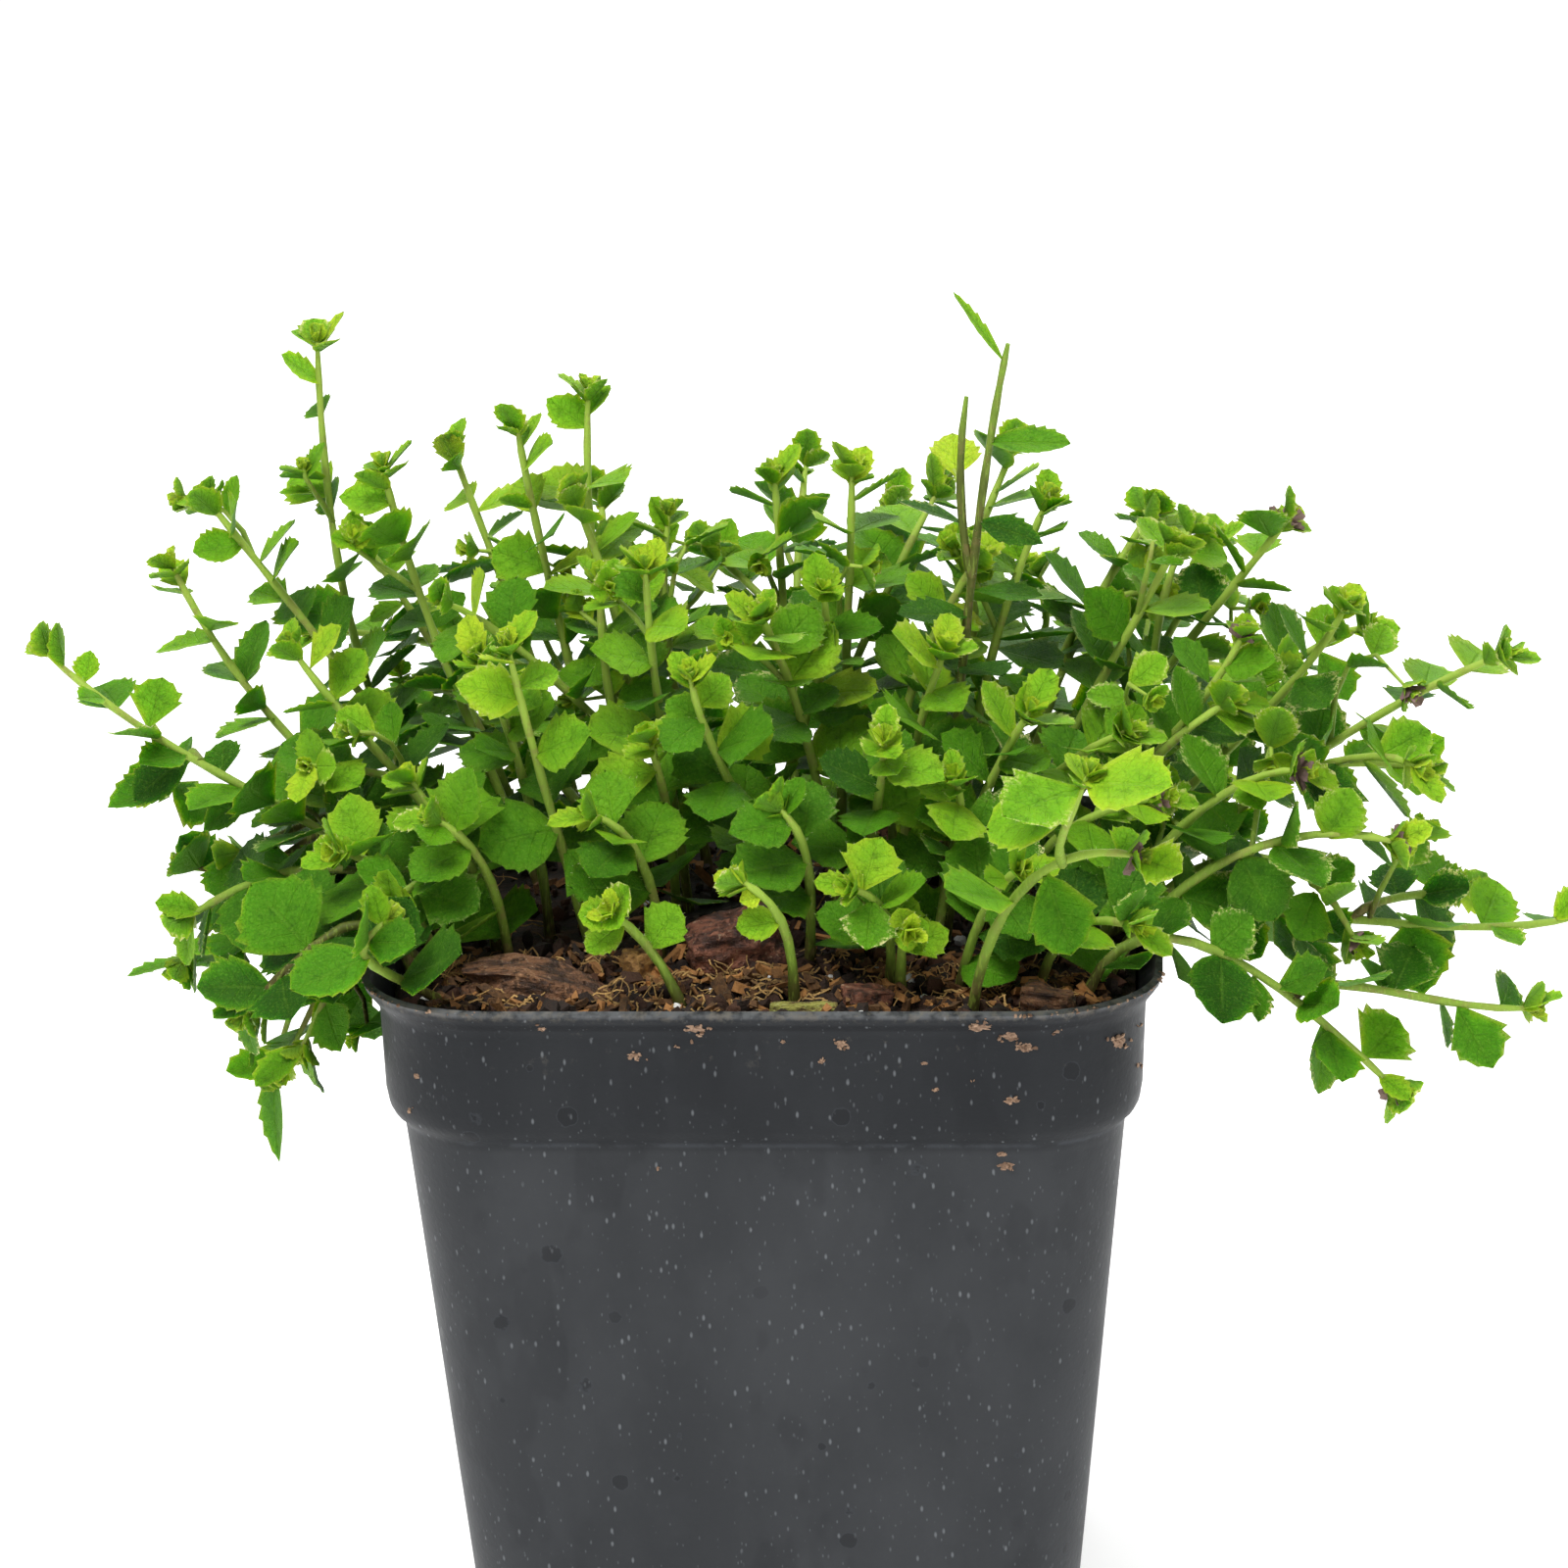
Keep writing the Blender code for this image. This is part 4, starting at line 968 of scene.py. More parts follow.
def bladeShape(frameOf, base, length, width, teeth):
    along, side, face = frameOf
    points = bladeOutline(frameOf, base, length, width, teeth)
    tip = len(teeth) + 1
    left = list(range(0, tip + 1))
    right = [0] + list(range(len(points) - 1, tip - 1, -1))
    lowLeft = lowRight = len(points)
    keel = 0.0 if teeth is growth["plain"] else width * growth["keelShare"]
    low = base + along * (length * growth["keelPlace"])
    points.append(low + side * keel - face * growth["bladeDepth"])
    faces = [tuple(reversed(left)), tuple(right)]
    if keel:
        lowRight = len(points)
        points.append(low - side * keel - face * growth["bladeDepth"])
        faces += [(0, lowLeft, lowRight), (tip, lowRight, lowLeft)]
    faces += [(a, b, lowLeft) for a, b in zip(left, left[1:])]
    faces += [(b, a, lowRight) for a, b in zip(right, right[1:])]
    return points, faces


def bladeGuard(frameOf, base, length, width, teeth, guard):
    along, side, face = frameOf
    ring = bladeOutline(frameOf, base, length, width, teeth, guard)
    high = [p + face * guard for p in ring]
    fold, depth = growth["fold"], growth["bladeDepth"]
    low = [p - face * (guard + fold * abs((p - base).dot(side)) + depth) for p in ring]
    start = along * (length * 0.12)  # the base lies in the stem
    high[0], low[0] = high[0] + start, low[0] + start
    count = len(ring)
    tip = len(teeth) + 1
    left, right = list(range(tip + 1)), [0] + list(range(count - 1, tip - 1, -1))
    faces = [tuple(left), tuple(right), tuple(i + count for i in left), tuple(i + count for i in right)]
    faces += [(i, (i + 1) % count, (i + 1) % count + count, i + count) for i in range(count)]
    return high + low, faces


def stemHandles(root, tip, rise, bow, sway):
    out = Vector((tip.x - root.x, tip.y - root.y, 0))
    creep = clamped(-bow / growth["creep"])
    low = root + up * (rise + growth["rootDepth"]) + out * (0.12 + 0.45 * creep) + sway * 0.5
    high = tip - out * (0.38 - 0.34 * creep) + up * bow + sway
    return root, low, high, tip


def stemRoute(handles, segment):
    steps = max(4, round((handles[3] - handles[0]).length / segment))
    return interpolate_bezier(*handles, steps + 1)


def tapered(route, base, tip):
    return [base + (tip - base) * i / (len(route) - 1) for i in range(len(route))]


def pointAt(route, share):
    place = min(share * (len(route) - 1), len(route) - 1.001)
    i = int(place)
    step = route[i + 1] - route[i]
    return route[i] + step * (place - i), step.normalized()


def facing(way, face):
    way = way.normalized()
    face = face - way * face.dot(way)
    face.normalize()
    return way, face.cross(way), face


def leafFrame(along, turn, lean, base, wobble):
    away = Vector((base.x, base.y, 0)) / max(40.0, math.hypot(base.x, base.y))
    face = (up + away * growth["outward"] + growth["frontLight"] + wobble).normalized()
    side = along.cross(face)
    if side.length < 0.25:
        side = along.cross(Vector((0, -1, 0)))
    side.normalize()
    side = Matrix.Rotation(math.radians(turn), 3, along) @ side
    point = (side * math.sin(math.radians(lean)) + along * math.cos(math.radians(lean))).normalized()
    if (face - point * face.dot(point)).length < 0.2:
        face = along
    return facing(point, face)


class Plant:  # grows stems and leaves one after another, each clear of the rest
    def __init__(self, space):
        self.space = space
        self.count = 0

    def stem(self, owner, root, tip, rise, bow, draw, thick, skip):
        for attempt in range(growth["tries"]):
            reach = growth["wander"] + growth["wanderStep"] * attempt
            sway = Vector((draw.uniform(-1, 1), draw.uniform(-1, 1), draw.uniform(-0.4, 0.8))) * reach
            end = tip + sway * growth["tipDrift"] * attempt
            handles = stemHandles(root, end, rise, bow, sway)
            route = stemRoute(handles, growth["segment"])
            radii = tapered(route, *thick)
            tested = slice(1, None) if skip else slice(0, None)
            shell = tubeShell(route[tested], radii[tested], growth["stemGuard"])
            if self.space.clear(*shell, skip={*skip, "potting_mix"}):
                key = (owner, self.count)
                self.space.add(*tubeShell(route, radii, 0), key)
                self.count += 1
                return {"route": route, "handles": handles, "thick": thick, "key": key, "leaves": []}
        return None

    def setLeaf(self, stem, base, frameOf, length, breadth, teeth, share, guard=growth["leafGuard"]):
        shape = (frameOf, base, length, length * breadth, teeth)
        if not self.space.clear(*bladeGuard(*shape, guard), skip={stem["key"]}):
            return None
        self.space.add(*bladeShape(*shape), stem["key"][0])
        leaf = {"frame": frameOf, "base": base, "length": length, "width": length * breadth, "share": share}
        leaf["plain"] = teeth is growth["plain"]
        stem["leaves"].append(leaf)
        return leaf

    def leaf(
        self, stem, share, turn, lean, length, breadth, teeth, draw,
        guard=growth["leafGuard"], wobble=growth["wobble"],
    ):
        base, along = pointAt(stem["route"], share)
        wobble = Vector((draw.uniform(-1, 1), draw.uniform(-1, 1), 0)) * wobble
        for i, more in enumerate(growth["turns"]):
            size = length * (1 - growth["turnShrink"] * i)
            frameOf = leafFrame(along, turn + more, lean, base, wobble)
            leaf = self.setLeaf(stem, base, frameOf, size, breadth, teeth, share, guard)
            if leaf:
                return leaf
        return None

    def dress(self, stem, draw):
        count, (first, tufts) = stem["count"], stem["dress"]
        hand = draw.choice((0, 180))
        for i in range(count):
            share = first + (growth["lastLeaf"] - first) * (i + 0.4) / count
            age = 1 - growth["youngShrink"] * max(0.0, (share - 0.5) / 0.5)
            length = growth["leaf"][0] * age * draw.uniform(*growth["leafSizes"])
            breadth = growth["leaf"][1] * draw.uniform(*growth["leafBreadths"])
            turn = hand + 180 * i + draw.uniform(-growth["leafTurn"], growth["leafTurn"])
            lean = draw.uniform(*growth["leafLeans"])
            self.leaf(stem, share, turn, lean, length, breadth, growth["toothed"], draw)
        if count:
            for i, share in enumerate(tufts):
                turn = hand + 90 + 180 * i + draw.uniform(-growth["tipTurn"], growth["tipTurn"])
                length = growth["tip"][0] * draw.uniform(*growth["tipSizes"])
                lean = draw.uniform(*growth["tipLeans"])
                self.leaf(stem, share, turn, lean, length, growth["tip"][1], growth["plain"], draw)

    def dressAll(self, leafy, seed):
        draw = random.Random(seed)
        for stem in leafy["tubes"]:
            self.dress(stem, draw)

    def grow(self, number, spec):  # one leafy stem with its side shoots, still bare
        root, tip, rise, bow, leaves, *shoots = spec
        draw = random.Random(number)
        owner = f"leafy_stem_{number:02d}"
        base, end = growth["stemRadius"]
        start = Vector((*root, soilHeight(*root) - growth["rootDepth"]))
        main = self.stem(owner, start, Vector(tip), rise, bow, draw, (base, end), ())
        if not main:
            print("no clear way for", owner)
            return None
        main.update(count=leaves, dress=growth["mainDress"])
        tubes = [main]
        for share, shootTip, shootBow, shootLeaves in shoots:
            fork, _ = pointAt(main["route"], share)
            thick = (base * growth["shootShare"], end)
            rising = 3 - growth["rootDepth"]
            side = self.stem(owner, fork, Vector(shootTip), rising, shootBow, draw, thick, {main["key"]})
            if side:
                side.update(count=shootLeaves, dress=growth["shootDress"])
                tubes.append(side)
        return {"node": owner, "number": number, "tubes": tubes}


def rearStems():  # a fan of stems behind the pot, high and low by turns
    draw = random.Random(77)
    specs = []
    for i in range(rear["count"]):
        angle = math.radians(rear["from"] + (rear["to"] - rear["from"]) * (i + 0.5) / rear["count"])
        way = Vector((math.cos(angle), math.sin(angle)))
        root = way * rear["root"] * draw.uniform(0.8, 1.08)
        low = i % 2
        reach = rear["reach"][0] + (rear["reach"][1] - rear["reach"][0]) * draw.uniform(0.2, 1)
        tip = way * (rear["root"] + reach * (1 if low else 0.6))
        height = rear["height"][1 - low] + draw.uniform(-8, 6)
        side = Vector((-way.y, way.x)) * draw.choice((-1, 1))
        shoot = root.lerp(tip, 0.7) + side * 13
        shoot = (0.5, (shoot.x, shoot.y, height - 8), -3, 2)
        rise, bow = (12, 4) if low else (20, -12)
        specs.append(((root.x, root.y), (tip.x, tip.y, height), rise, bow, rear["leaves"], shoot))
    return specs


def coarseMix():  # the mix as it was before its holes, for the leaves to keep clear of
    bm = bmesh.new()
    rings = ((1.2, 33.2, 8.9), (1.9, 33.8, 9.3), (71.4, 40.5, 10.8), (72.9, 41.9, 11.8), (75.4, 42.5, 12.4))
    rings = [roundSquare(half, radius, z, 4) for z, half, radius in (*rings, (84.2, 42.9, 13.0))]
    edge = rings[-1]
    for scale in (0.91, 0.68, 0.38):
        rings.append([Vector((p.x * scale, p.y * scale, soilHeight(p.x * scale, p.y * scale))) for p in edge])
    last = loft(bm, rings)
    top = bm.verts.new((0, 0, soilHeight(0, 0)))
    for i, corner in enumerate(last):
        bm.faces.new((corner, last[(i + 1) % len(last)], top))
    bmesh.ops.triangulate(bm, faces=bm.faces)
    bm.verts.index_update()
    points = [vert.co.copy() for vert in bm.verts]
    faces = [tuple(vert.index for vert in face.verts) for face in bm.faces]
    bm.free()
    return points, faces


def growPlant():
    space = Space()
    space.add(*nodeMesh("pot"), "pot")
    space.add(*coarseMix(), "potting_mix")
    for node in barks:
        space.add(*nodeMesh(node), node)
    plant = Plant(space)
    grown = [plant.grow(i, spec) for i, spec in enumerate((*stems, *rearStems()), 1)]
    grown = [leafy for leafy in grown if leafy]
    for leafy in grown:
        for which, share, way, face, length, breadth in featured.get(leafy["number"], ()):
            stem = leafy["tubes"][which]
            frameOf = facing(Vector(way), Vector(face))
            base = pointAt(stem["route"], share)[0]
            plant.setLeaf(stem, base, frameOf, length, breadth, growth["toothed"], share)
    for number, leafy in enumerate(grown):
        plant.dressAll(leafy, 500 + number)
    return plant, grown


def leavesOf(some):
    return sum(len(stem["leaves"]) for leafy in some for stem in leafy["tubes"])


plant, grown = growPlant()
print("plant:", len(grown), "stems,", leavesOf(grown), "leaves")


# More leaves and small shoots than the solids have, in the room that is left

extra = {
    "step": 4.6, "first": 0.08, "last": 0.96, "guard": 0.02, "wobble": 0.75,
    "length": (5.0, 11.0, 9.0), "breadth": (0.82, 1.08), "shrink": 0.28, "turn": 50, "leans": (50, 84),
    "aboveMix": 3,
    "bare": {1: 2.0, 4: 0.9, 5: 0.84, 14: 0.8, 15: 0.7},  # shares below which a stem stays bare
    "fork": 40.0, "shoot": (6.0, 13.0), "shootRadius": (0.42, 0.32),
    "shootFrom": 0.3, "shootSpan": 0.55, "shootAboveMix": 4, "shootLeans": (35, 60), "shootRise": 0.6,
    "shootLeaves": (0.45, 0.72), "shootLeaf": (4.8, 7.6), "shootBreadth": 0.85,
}

# Stems of the scene alone, in the thick of the plant, by number: root, tip, rise, bow and leaves
fillStems = {
    101: ((-39, -16), (-55, -22, 76), 14, 12, 5),
    102: ((-38, -10), (-70, -8, 88), 14, 8, 6),
    103: ((-37, -20), (-53, -22, 92), 10, 2, 5),
    104: ((-38, 4), (-60, -4, 68), 16, 22, 6),
    105: ((-30, -20), (-38, -28, 106), 10, -4, 4),
    106: ((-26, -12), (-33, -16, 122), 14, -10, 5),
    108: ((-10, -4), (-14, -9, 131), 18, -14, 5),
    109: ((-4, -8), (4, -12, 127), 18, -14, 5),
    110: ((4, 2), (14, -2, 132), 20, -14, 5),
    111: ((14, 0), (26, 0, 130), 20, -14, 5),
    112: ((20, -16), (31, -22, 117), 14, -8, 5),
    113: ((28, -18), (47, -26, 108), 12, -2, 5),
    114: ((32, -12), (54, -14, 116), 12, -6, 5),
    117: ((36, 4), (70, 4, 118), 12, -8, 5),
    118: ((30, 20), (52, 24, 126), 14, -12, 5),
    119: ((12, 26), (21, 33, 122), 20, -10, 5),
    121: ((-16, 6), (-24, 6, 136), 20, -16, 5),
    122: ((-30, 16), (-52, 26, 126), 14, -16, 5),
    124: ((5, -24), (2, -30, 108), 12, -4, 4),
    125: ((-12, -22), (-19, -30, 107), 10, -4, 4),
    126: ((22, -30), (30, -36, 102), 8, -2, 4),
    128: ((39, -22), (66, -30, 88), 12, 10, 5),
    129: ((-11, -12), (-13, -20, 113), 14, -8, 4),
    131: ((-40, -27), (-60, -34, 84), 14, 10, 5),
    132: ((-40, 30), (-60, 23, 84), 14, 10, 5),
    133: ((16, -33), (17.5, -40, 96), 6, -1, 3),
    135: ((-33, -30), (-36, -36, 99), 6, -2, 4),
}


def addLeaves(stem, length, bare, draw):
    added = 0
    reach = extra["last"] - extra["first"]
    count = int(length * reach / extra["step"])
    hand = draw.choice((0, 180))
    for i in range(count):
        share = extra["first"] + reach * (i + draw.uniform(0.2, 0.8)) / count
        turn = hand + 180 * i + draw.uniform(-extra["turn"], extra["turn"])
        lean = draw.uniform(*extra["leans"])
        size, breadth = draw.triangular(*extra["length"]), draw.uniform(*extra["breadth"])
        if share < bare or inMix(pointAt(stem["route"], share)[0], extra["aboveMix"]):
            continue
        size *= 1 - extra["shrink"] * max(0.0, (share - 0.5) / 0.5)
        teeth = growth["toothed"]
        if plant.leaf(stem, share, turn, lean, size, breadth, teeth, draw, extra["guard"], extra["wobble"]):
            added += 1
    return added


def addShoots(leafy, stem, length, draw):
    added = 0
    count = int(length / extra["fork"])
    for i in range(count):
        share = extra["shootFrom"] + extra["shootSpan"] * (i + draw.uniform(0, 1)) / count
        fork, along = pointAt(stem["route"], share)
        if inMix(fork, extra["shootAboveMix"]):
            continue
        way = leafFrame(along, draw.uniform(0, 360), draw.uniform(*extra["shootLeans"]), fork, Vector())[0]
        tip = fork + (way + up * extra["shootRise"]).normalized() * draw.uniform(*extra["shoot"])
        side = plant.stem(leafy["node"], fork, tip, 0, 0, draw, extra["shootRadius"], {stem["key"]})
        if not side:
            continue
        side["small"] = True
        leafy["tubes"].append(side)
        added += 1
        for share in extra["shootLeaves"]:
            turn, lean = draw.uniform(0, 360), draw.uniform(40, 75)
            size, breadth = draw.uniform(*extra["shootLeaf"]), extra["shootBreadth"]
            plant.leaf(side, share, turn, lean, size, breadth, growth["toothed"], draw, extra["guard"])
    return added


def addExtras():
    leaves = shoots = 0
    for leafy in grown:
        draw = random.Random(900 + leafy["number"])
        bare = extra["bare"].get(leafy["number"], 0)
        for stem in list(leafy["tubes"]):
            length = sum((b - a).length for a, b in zip(stem["route"], stem["route"][1:]))
            leaves += addLeaves(stem, length, bare, draw)
            if not bare:
                shoots += addShoots(leafy, stem, length, draw)
    print("extras:", leaves, "leaves and", shoots, "side shoots")


def addFillStems():
    found = []
    for number, spec in fillStems.items():
        leafy = plant.grow(number, spec)
        if leafy:
            plant.dressAll(leafy, 599 + number)
            found.append(leafy)
    print("fill stems:", len(found), "with", leavesOf(found), "leaves")
    return found


fillers = addFillStems()
grown += fillers
addExtras()


# Leaves, stems and tips as fine meshes

leafForms = {  # teeth on each side, how deep, where they start, widest place, roundness, neck, blunt tip
    "round": (4, 0.090, 0.46, 1.06, 0.62, 0.11, 0.05),
    "broad": (3, 0.110, 0.50, 1.24, 0.74, 0.10, 0.02),
    "acute": (4, 0.105, 0.38, 1.00, 0.92, 0.10, 0.01),
    "wedge": (3, 0.130, 0.48, 1.36, 0.92, 0.09, 0.01),
    "young": (3, 0.120, 0.40, 1.10, 0.60, 0.20, 0.02),
    "bud": (2, 0.160, 0.40, 1.10, 0.50, 0.30, 0.05),
}
leafBody = {
    "thick": 0.26, "curl": 0.30, "arch": 0.055, "wave": 0.014,
    "noTuft": 1,  # the tall stem ends in a bare leaf
    "moods": {  # by stem: how much younger its leaves look, their size, their breadth
        1: (-0.36, 0.96, 0.8), 3: (-0.1, 1.0, 1.0), 4: (0.08, 1.0, 1.0), 11: (-0.14, 1.15, 1.0),
        12: (-0.2, 1.2, 1.05), 13: (-0.18, 1.2, 1.05), 14: (0.3, 0.66, 1.0), 15: (0.36, 0.58, 1.0),
        101: (-0.18, 1.22, 1.08), 102: (-0.12, 1.15, 1.05), 104: (-0.18, 1.25, 1.08), 131: (-0.24, 1.2, 1.1),
        132: (-0.16, 1.15, 1.0), 133: (0.32, 0.6, 0.9), 135: (-0.06, 1.05, 1.0),
    },
}


def marginOf(form):  # rows up a leaf, as (share of its length, half its width, a tooth's sign)
    teeth, depth, first, widest, roundness, neck, blunt = form

    def half(share):
        return math.sin(math.pi * share ** widest) ** roundness

    smooth = (0.05, 0.16, 0.30)[:2 if teeth < 4 else 3]
    rows = [(0.0, neck, 0)] + [(share, half(share), 0) for share in smooth]
    pitch = (0.99 - first) / teeth
    for i in range(teeth):
        start = first + (0.99 - first) * i / teeth
        tip, notch = start + 0.48 * pitch, start + 0.61 * pitch
        rows.append((tip, half(tip) * (1 + 0.5 * depth) + 0.3 * depth * tip, 1))
        rows.append((notch, half(notch) * (1 - depth), -1))
    return [*rows, (1.0, blunt, 0)]


def makeLeafForm(name, form):  # an upper and a lower sheet that share their margin
    rows = marginOf(form)
    bm = newMesh()
    sheet = bm.loops.layers.uv["sheet"]
    for columns, under in ((4, 0), (2, 1)):
        made = bmesh.ops.create_grid(bm, x_segments=columns, y_segments=len(rows) - 1, size=0.5)["verts"]
        spots = {}
        for vert in made:
            column = round((vert.co.x + 0.5) * columns)
            row = round((vert.co.y + 0.5) * (len(rows) - 1))
            reach, half, sign = rows[row]
            side = 2 * column / columns - 1
            inner = under and abs(side) < 0.9 and 0 < row < len(rows) - 1
            vert.co = Vector((side * half, reach, -0.5 if inner else sign * side * side))
            edge = abs(side) > 0.99 and not under
            tinted(bm, [vert], (int(edge), 0, 0, int(bool(inner))))
            spots[vert] = (reach, 0.5 + 0.5 * side)
        faces = list({face for vert in made for face in vert.link_faces})
        for face in faces:
            for loop in face.loops:
                loop[sheet].uv = spots[loop.vert]
        if under:
            bmesh.ops.reverse_faces(bm, faces=faces)
    bmesh.ops.remove_doubles(bm, verts=bm.verts, dist=0.0001)
    return meshOf(bm, "leafForm" + name)


formMeshes = {name: makeLeafForm(name, form) for name, form in leafForms.items()}


def layLeaf(bm, form, leaf, tint, draw):
    along, side, face = leaf["frame"]
    right = along.cross(face)
    length, half = leaf["length"], leaf["width"] / 2
    arch = length * leafBody["arch"] * draw.uniform(-0.2, 1.6)
    curl = growth["fold"] * draw.uniform(0.75, 1.2) * leaf.get("cup", 1)
    wave, sweep = length * leafBody["wave"] * draw.uniform(0.5, 1.6), draw.uniform(-0.07, 0.07)
    before = len(bm.verts)
    bm.from_mesh(formMeshes[form])
    bm.verts.ensure_lookup_table()
    layer = bm.verts.layers.float_color["tint"]
    for vert in bm.verts[before:]:
        x, y, sign = vert.co
        edge, under = vert[layer][0], vert[layer][3]
        ends = min(1.0, y * 8)
        rise = curl * abs(x) * half * (1.12 - leafBody["curl"] * x * x) + wave * sign * x * x
        rise -= arch * max(0.0, y - 0.1) ** 2 * 1.2 + under * leafBody["thick"] * ends
        vert.co = leaf["base"] + along * (y * length) + face * rise
        vert.co += right * (x * half + sweep * length * y * y)
        vert[layer] = (*tint, under)
        if edge and y > 0.03:
            out = right * math.copysign(1, x) + along * (0.5 + y)
            leaf.setdefault("margin", []).append((vert.co.copy(), out.normalized(), face))


def leafYouthAndLight(leaf, draw):  # 0 for an old dark leaf, 1 for a young yellow one
    base = leaf["base"]
    outer = min(1.0, abs(base.x) / 50)
    # Above 112 mm leaves are painted lighter, as painted light on the best-lit top of the plant; below it
    # they turn darker, more so towards the sides
    low = clamped((112 - base.z) / 26, -1.4) * (0.12 if base.z > 112 else 0.03 + 0.10 * outer)
    right = 0.05 if base.x > 30 else 0
    youth = 0.32 + 0.34 * max(0.0, (leaf["share"] - 0.55) / 0.45) + draw.gauss(0, 0.12) - low - right
    return clamped(youth, 0.02)


def leafCream(leaf, draw):  # pale dots along the margin, most on the right
    right = clamped((leaf["base"].x + 5) / 60)
    return clamped(draw.gauss(0.16 + 0.36 * right, 0.22))


tuft = {  # outer leaves, then the small ones inside them: fewest, most, length, lean, fold
    "outer": (2, 4, 3.7, 54, 1.8), "inner": (3, 5, 2.3, 24, 3.4),
}


def tuftFrame(along, turn, lean, tip):
    way = leafFrame(along, turn, lean, tip, Vector())[0]
    return facing(way, along * 1.2 - way * 0.2)


def addTip(bm, stem, draw):  # small round leaves, crowded round a stem's tip
    tip, along = pointAt(stem["fine"], 1.0)
    small = 0.74 if stem.get("small", False) else 1.0
    turn = draw.uniform(0, 360)
    for layer, form in (("outer", "young"), ("inner", "bud")):
        fewest, most, length, lean, fold = tuft[layer]
        for i in range(draw.randint(fewest, most)):
            turn += golden + draw.uniform(-25, 25)
            frameOf = tuftFrame(along, turn, lean + draw.uniform(-16, 16), tip)
            size = length * draw.uniform(0.7, 1.25) * small
            base = tip - along * (1.3 if layer == "outer" else 0.2) * draw.uniform(0.5, 1.2)
            leaf = {"frame": frameOf, "base": base, "length": size, "width": size}
            leaf["cup"] = draw.uniform(0.8, fold)
            if inBox(leaf):
                youth = draw.uniform(0.58, 0.8) if layer == "outer" else draw.uniform(0.78, 1.0)
                layLeaf(bm, form, leaf, (youth, draw.uniform(0.1, 0.9), draw.random()), draw)


hair = {"radius": 0.02, "stem": (0.22, 0.5), "leaf": (0.16, 0.36), "gap": 0.36, "lean": 0.35, "spread": 0.4}


def makeHairForm():  # one fine hair, a three-sided spike as long as the unit
    bm = newMesh()
    sizes = {"segments": 3, "radius1": hair["radius"], "radius2": 0.003, "depth": 1}
    made = bmesh.ops.create_cone(bm, cap_ends=True, **sizes)["verts"]
    bmesh.ops.translate(bm, vec=(0, 0, 0.5), verts=made)
    return meshOf(bm, "hairForm")


hairForm = makeHairForm()


def addHair(bm, spot, way, length):
    before = len(bm.verts)
    bm.from_mesh(hairForm)
    bm.verts.ensure_lookup_table()
    turn = way.to_track_quat("Z", "Y")
    for vert in bm.verts[before:]:
        x, y, z = vert.co
        vert.co = spot + turn @ Vector((x, y, z * length))


def addHairs(bm, tubes, draw):  # along the stems, and one at each corner of a leaf's margin
    for stem in tubes:
        for a, b, radius in zip(stem["fine"], stem["fine"][1:], stem["radii"]):
            along = (b - a).normalized()
            if inMix(a, 2):
                continue
            for _ in range(round((b - a).length / hair["gap"])):
                out = Quaternion(along, draw.uniform(0, 2 * math.pi)) @ along.orthogonal().normalized()
                spot = a.lerp(b, draw.random()) + out * radius * 0.85
                way = (out + along * draw.gauss(hair["lean"], 0.3)).normalized()
                addHair(bm, spot, way, draw.uniform(*hair["stem"]))
        for leaf in stem["leaves"]:
            for spot, out, face in leaf.get("margin", ()):
                way = (out + face * draw.gauss(0.1, hair["spread"])).normalized()
                addHair(bm, spot - way * 0.04, way, draw.uniform(*hair["leaf"]))


def inBox(leaf):
    end = leaf["base"] + leaf["frame"][0] * leaf["length"]
    return all(cadBox[0][i] / mm + 0.6 < end[i] < cadBox[1][i] / mm - 0.6 for i in range(3))


stemBody = {
    "segment": 3.0, "sides": 7, "thin": 0.88, "swell": 0.10, "swellPace": 2.1, "tip": 0.55,
    "dark": 84.0, "bright": 128.0,  # the heights between which a stem turns from brown to green
}


def addStem(bm, stem, younger, draw):  # a green stalk, brown and dark towards its foot
    stem["fine"] = stemRoute(stem["handles"], stemBody["segment"])
    stem["radii"] = []
    base, end = stem["thick"]
    steps = len(stem["fine"]) - 1
    tints = []
    for i, point in enumerate(stem["fine"]):
        share = i / steps
        swell = stemBody["thin"] + stemBody["swell"] * math.sin(i * stemBody["swellPace"])
        swell *= 1 if i < steps else stemBody["tip"]
        stem["radii"].append((base + (end - base) * share) * swell)
        high = clamped((point.z - stemBody["dark"]) / (stemBody["bright"] - stemBody["dark"]))
        age = max(0.0, min(1.0, 0.35 * high + 0.65 * share) + 2 * min(0.0, younger))
        tints.append((age, draw.random() * 0.5, 0, 0))
    growTube(bm, stem["fine"], stem["radii"], stemBody["sides"], tints)


def addStemLeaves(bm, stem, mood, draw):
    younger, size, breadth = mood
    for leaf in stem["leaves"]:
        form = draw.choices(("round", "broad", "acute", "wedge"), (2.2, 2, 1 + leaf["share"], 1.6))[0]
        youth = leafYouthAndLight(leaf, draw)
        if leaf["plain"]:
            form, youth = "young", max(0.66, youth)
        leaf.update(length=leaf["length"] * size, width=leaf["width"] * size * breadth)
        youth = clamped(youth + younger + 0.15 * stem.get("small", False))
        layLeaf(bm, form, leaf, (youth, leafCream(leaf, draw), draw.random()), draw)


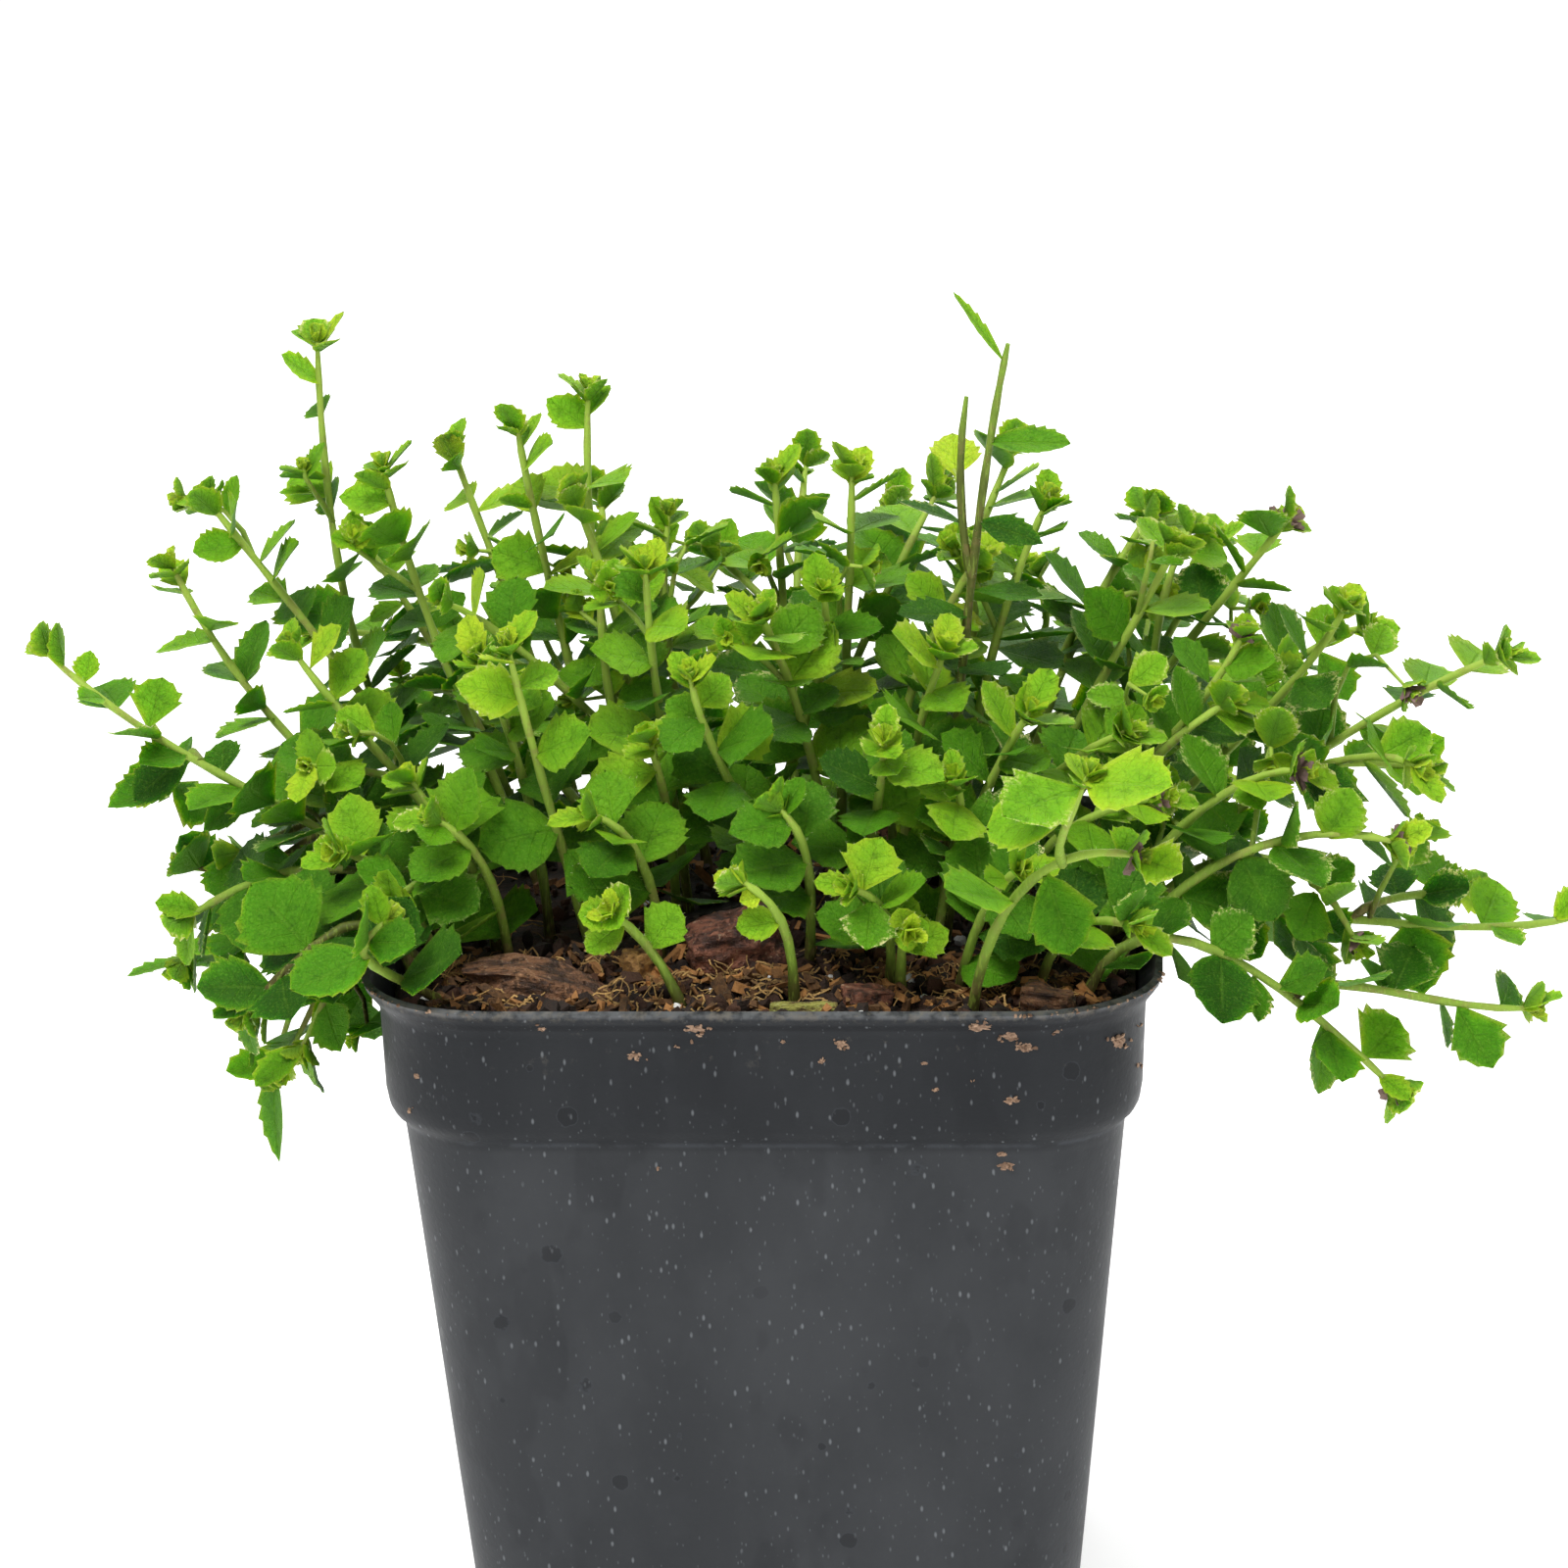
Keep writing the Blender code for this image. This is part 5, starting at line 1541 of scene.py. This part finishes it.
def makeLeafyPiece(leafy):
    number, node = leafy["number"], leafy["node"]
    draw = random.Random(300 + number)
    bm = newMesh()
    mood = leafBody["moods"].get(number, (0, 1.0, 1.0))
    for stem in leafy["tubes"]:
        addStem(bm, stem, mood[0], draw)
    stemFaces = len(bm.faces)
    for stem in leafy["tubes"]:
        addStemLeaves(bm, stem, mood, draw)
        if number != leafBody["noTuft"]:
            addTip(bm, stem, draw)
    leafFaces = len(bm.faces)
    addHairs(bm, leafy["tubes"], random.Random(5000 + number))
    for i, face in enumerate(bm.faces):
        face.material_index = 1 if i < stemFaces else 0 if i < leafFaces else 2
    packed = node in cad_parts
    name = f"leafyStem{number:02d}" if packed else f"extraStem{number - 100:02d}"
    return finished(bm, name, ["leaf", "stem", "hair"], [node] if packed else [], 60)


leafPieces = [makeLeafyPiece(leafy) for leafy in grown]

spentBuds = (  # where the photo shows dry, crumpled buds
    (1305, 575), (1277, 663), (1325, 797), (1453, 683), (1211, 818), (1240, 900), (1340, 940), (1435, 960),
    (1435, 1115),
)


def makeSpentBuds():  # at the stem tips nearest to where the photo shows them
    draw = random.Random(17)
    bm = newMesh()
    tips = [stem["fine"] for leafy in grown for stem in leafy["tubes"]]
    for px, py in spentBuds:
        fine = min(tips, key=lambda route: (pixelOf(route[-1]) - Vector((px, py))).length + route[-1].y)
        tips.remove(fine)
        along = (fine[-1] - fine[-2]).normalized()
        for i in range(9):
            turn, lean = golden * i + draw.uniform(-30, 30), draw.uniform(20, 95)
            leaf = {"frame": tuftFrame(along, turn, lean, fine[-1]), "base": fine[-1] - along * 0.6}
            size = draw.uniform(1.5, 2.9)
            leaf.update(length=size, width=size * 0.6, cup=draw.uniform(3, 5))
            if inBox(leaf):
                layLeaf(bm, "bud", leaf, (draw.random(), draw.random(), draw.random()), draw)
    finished(bm, "spentBuds", ["dried"], smooth=60)


makeSpentBuds()
print("leafy pieces:", len(leafPieces), "with", sum(len(p.data.polygons) for p in leafPieces), "faces")


# Floor and soft studio light

studio = {
    "floor": (0.86, 0.86, 0.86), "floorGlow": 0.55, "world": 0.42,
    # name: place, size and power of each soft light, all aimed at the plant
    "lights": {
        "key": ((-0.25, -0.45, 1.05), 0.6, 13.0),
        "fill": ((0.85, -0.75, 0.45), 0.8, 3.0),
        "back": ((0.15, 0.95, 0.75), 0.8, 6.0),
    },
}


def makeStudio():
    bm = bmesh.new()
    bmesh.ops.create_circle(bm, cap_ends=True, segments=64, radius=8)
    floor = shown("floor", meshOf(bm, "floor"))
    glow = {"Roughness": 0.9, "Emission Color": (1, 1, 1), "Emission Strength": studio["floorGlow"]}
    floor.data.materials.append(makePlain("paleFloor", studio["floor"], glow))
    for name, (place, size, power) in studio["lights"].items():
        lamp = bpy.data.lights.new(name, "AREA")
        lamp.size = size
        lamp.energy = power
        light = shown(name, lamp)
        light.location = place
        light.rotation_euler = (view["aim"] - Vector(place)).to_track_quat("-Z", "Y").to_euler()
    world = bpy.data.worlds.new("studio")
    world.use_nodes = True
    glow = world.node_tree.nodes["Background"].inputs
    glow["Color"].default_value = (1, 1, 1, 1)
    glow["Strength"].default_value = studio["world"]
    bpy.context.scene.world = world
    bpy.context.scene.view_settings.view_transform = "Standard"


makeStudio()
print("studio: floor and", len(studio["lights"]), "lights")
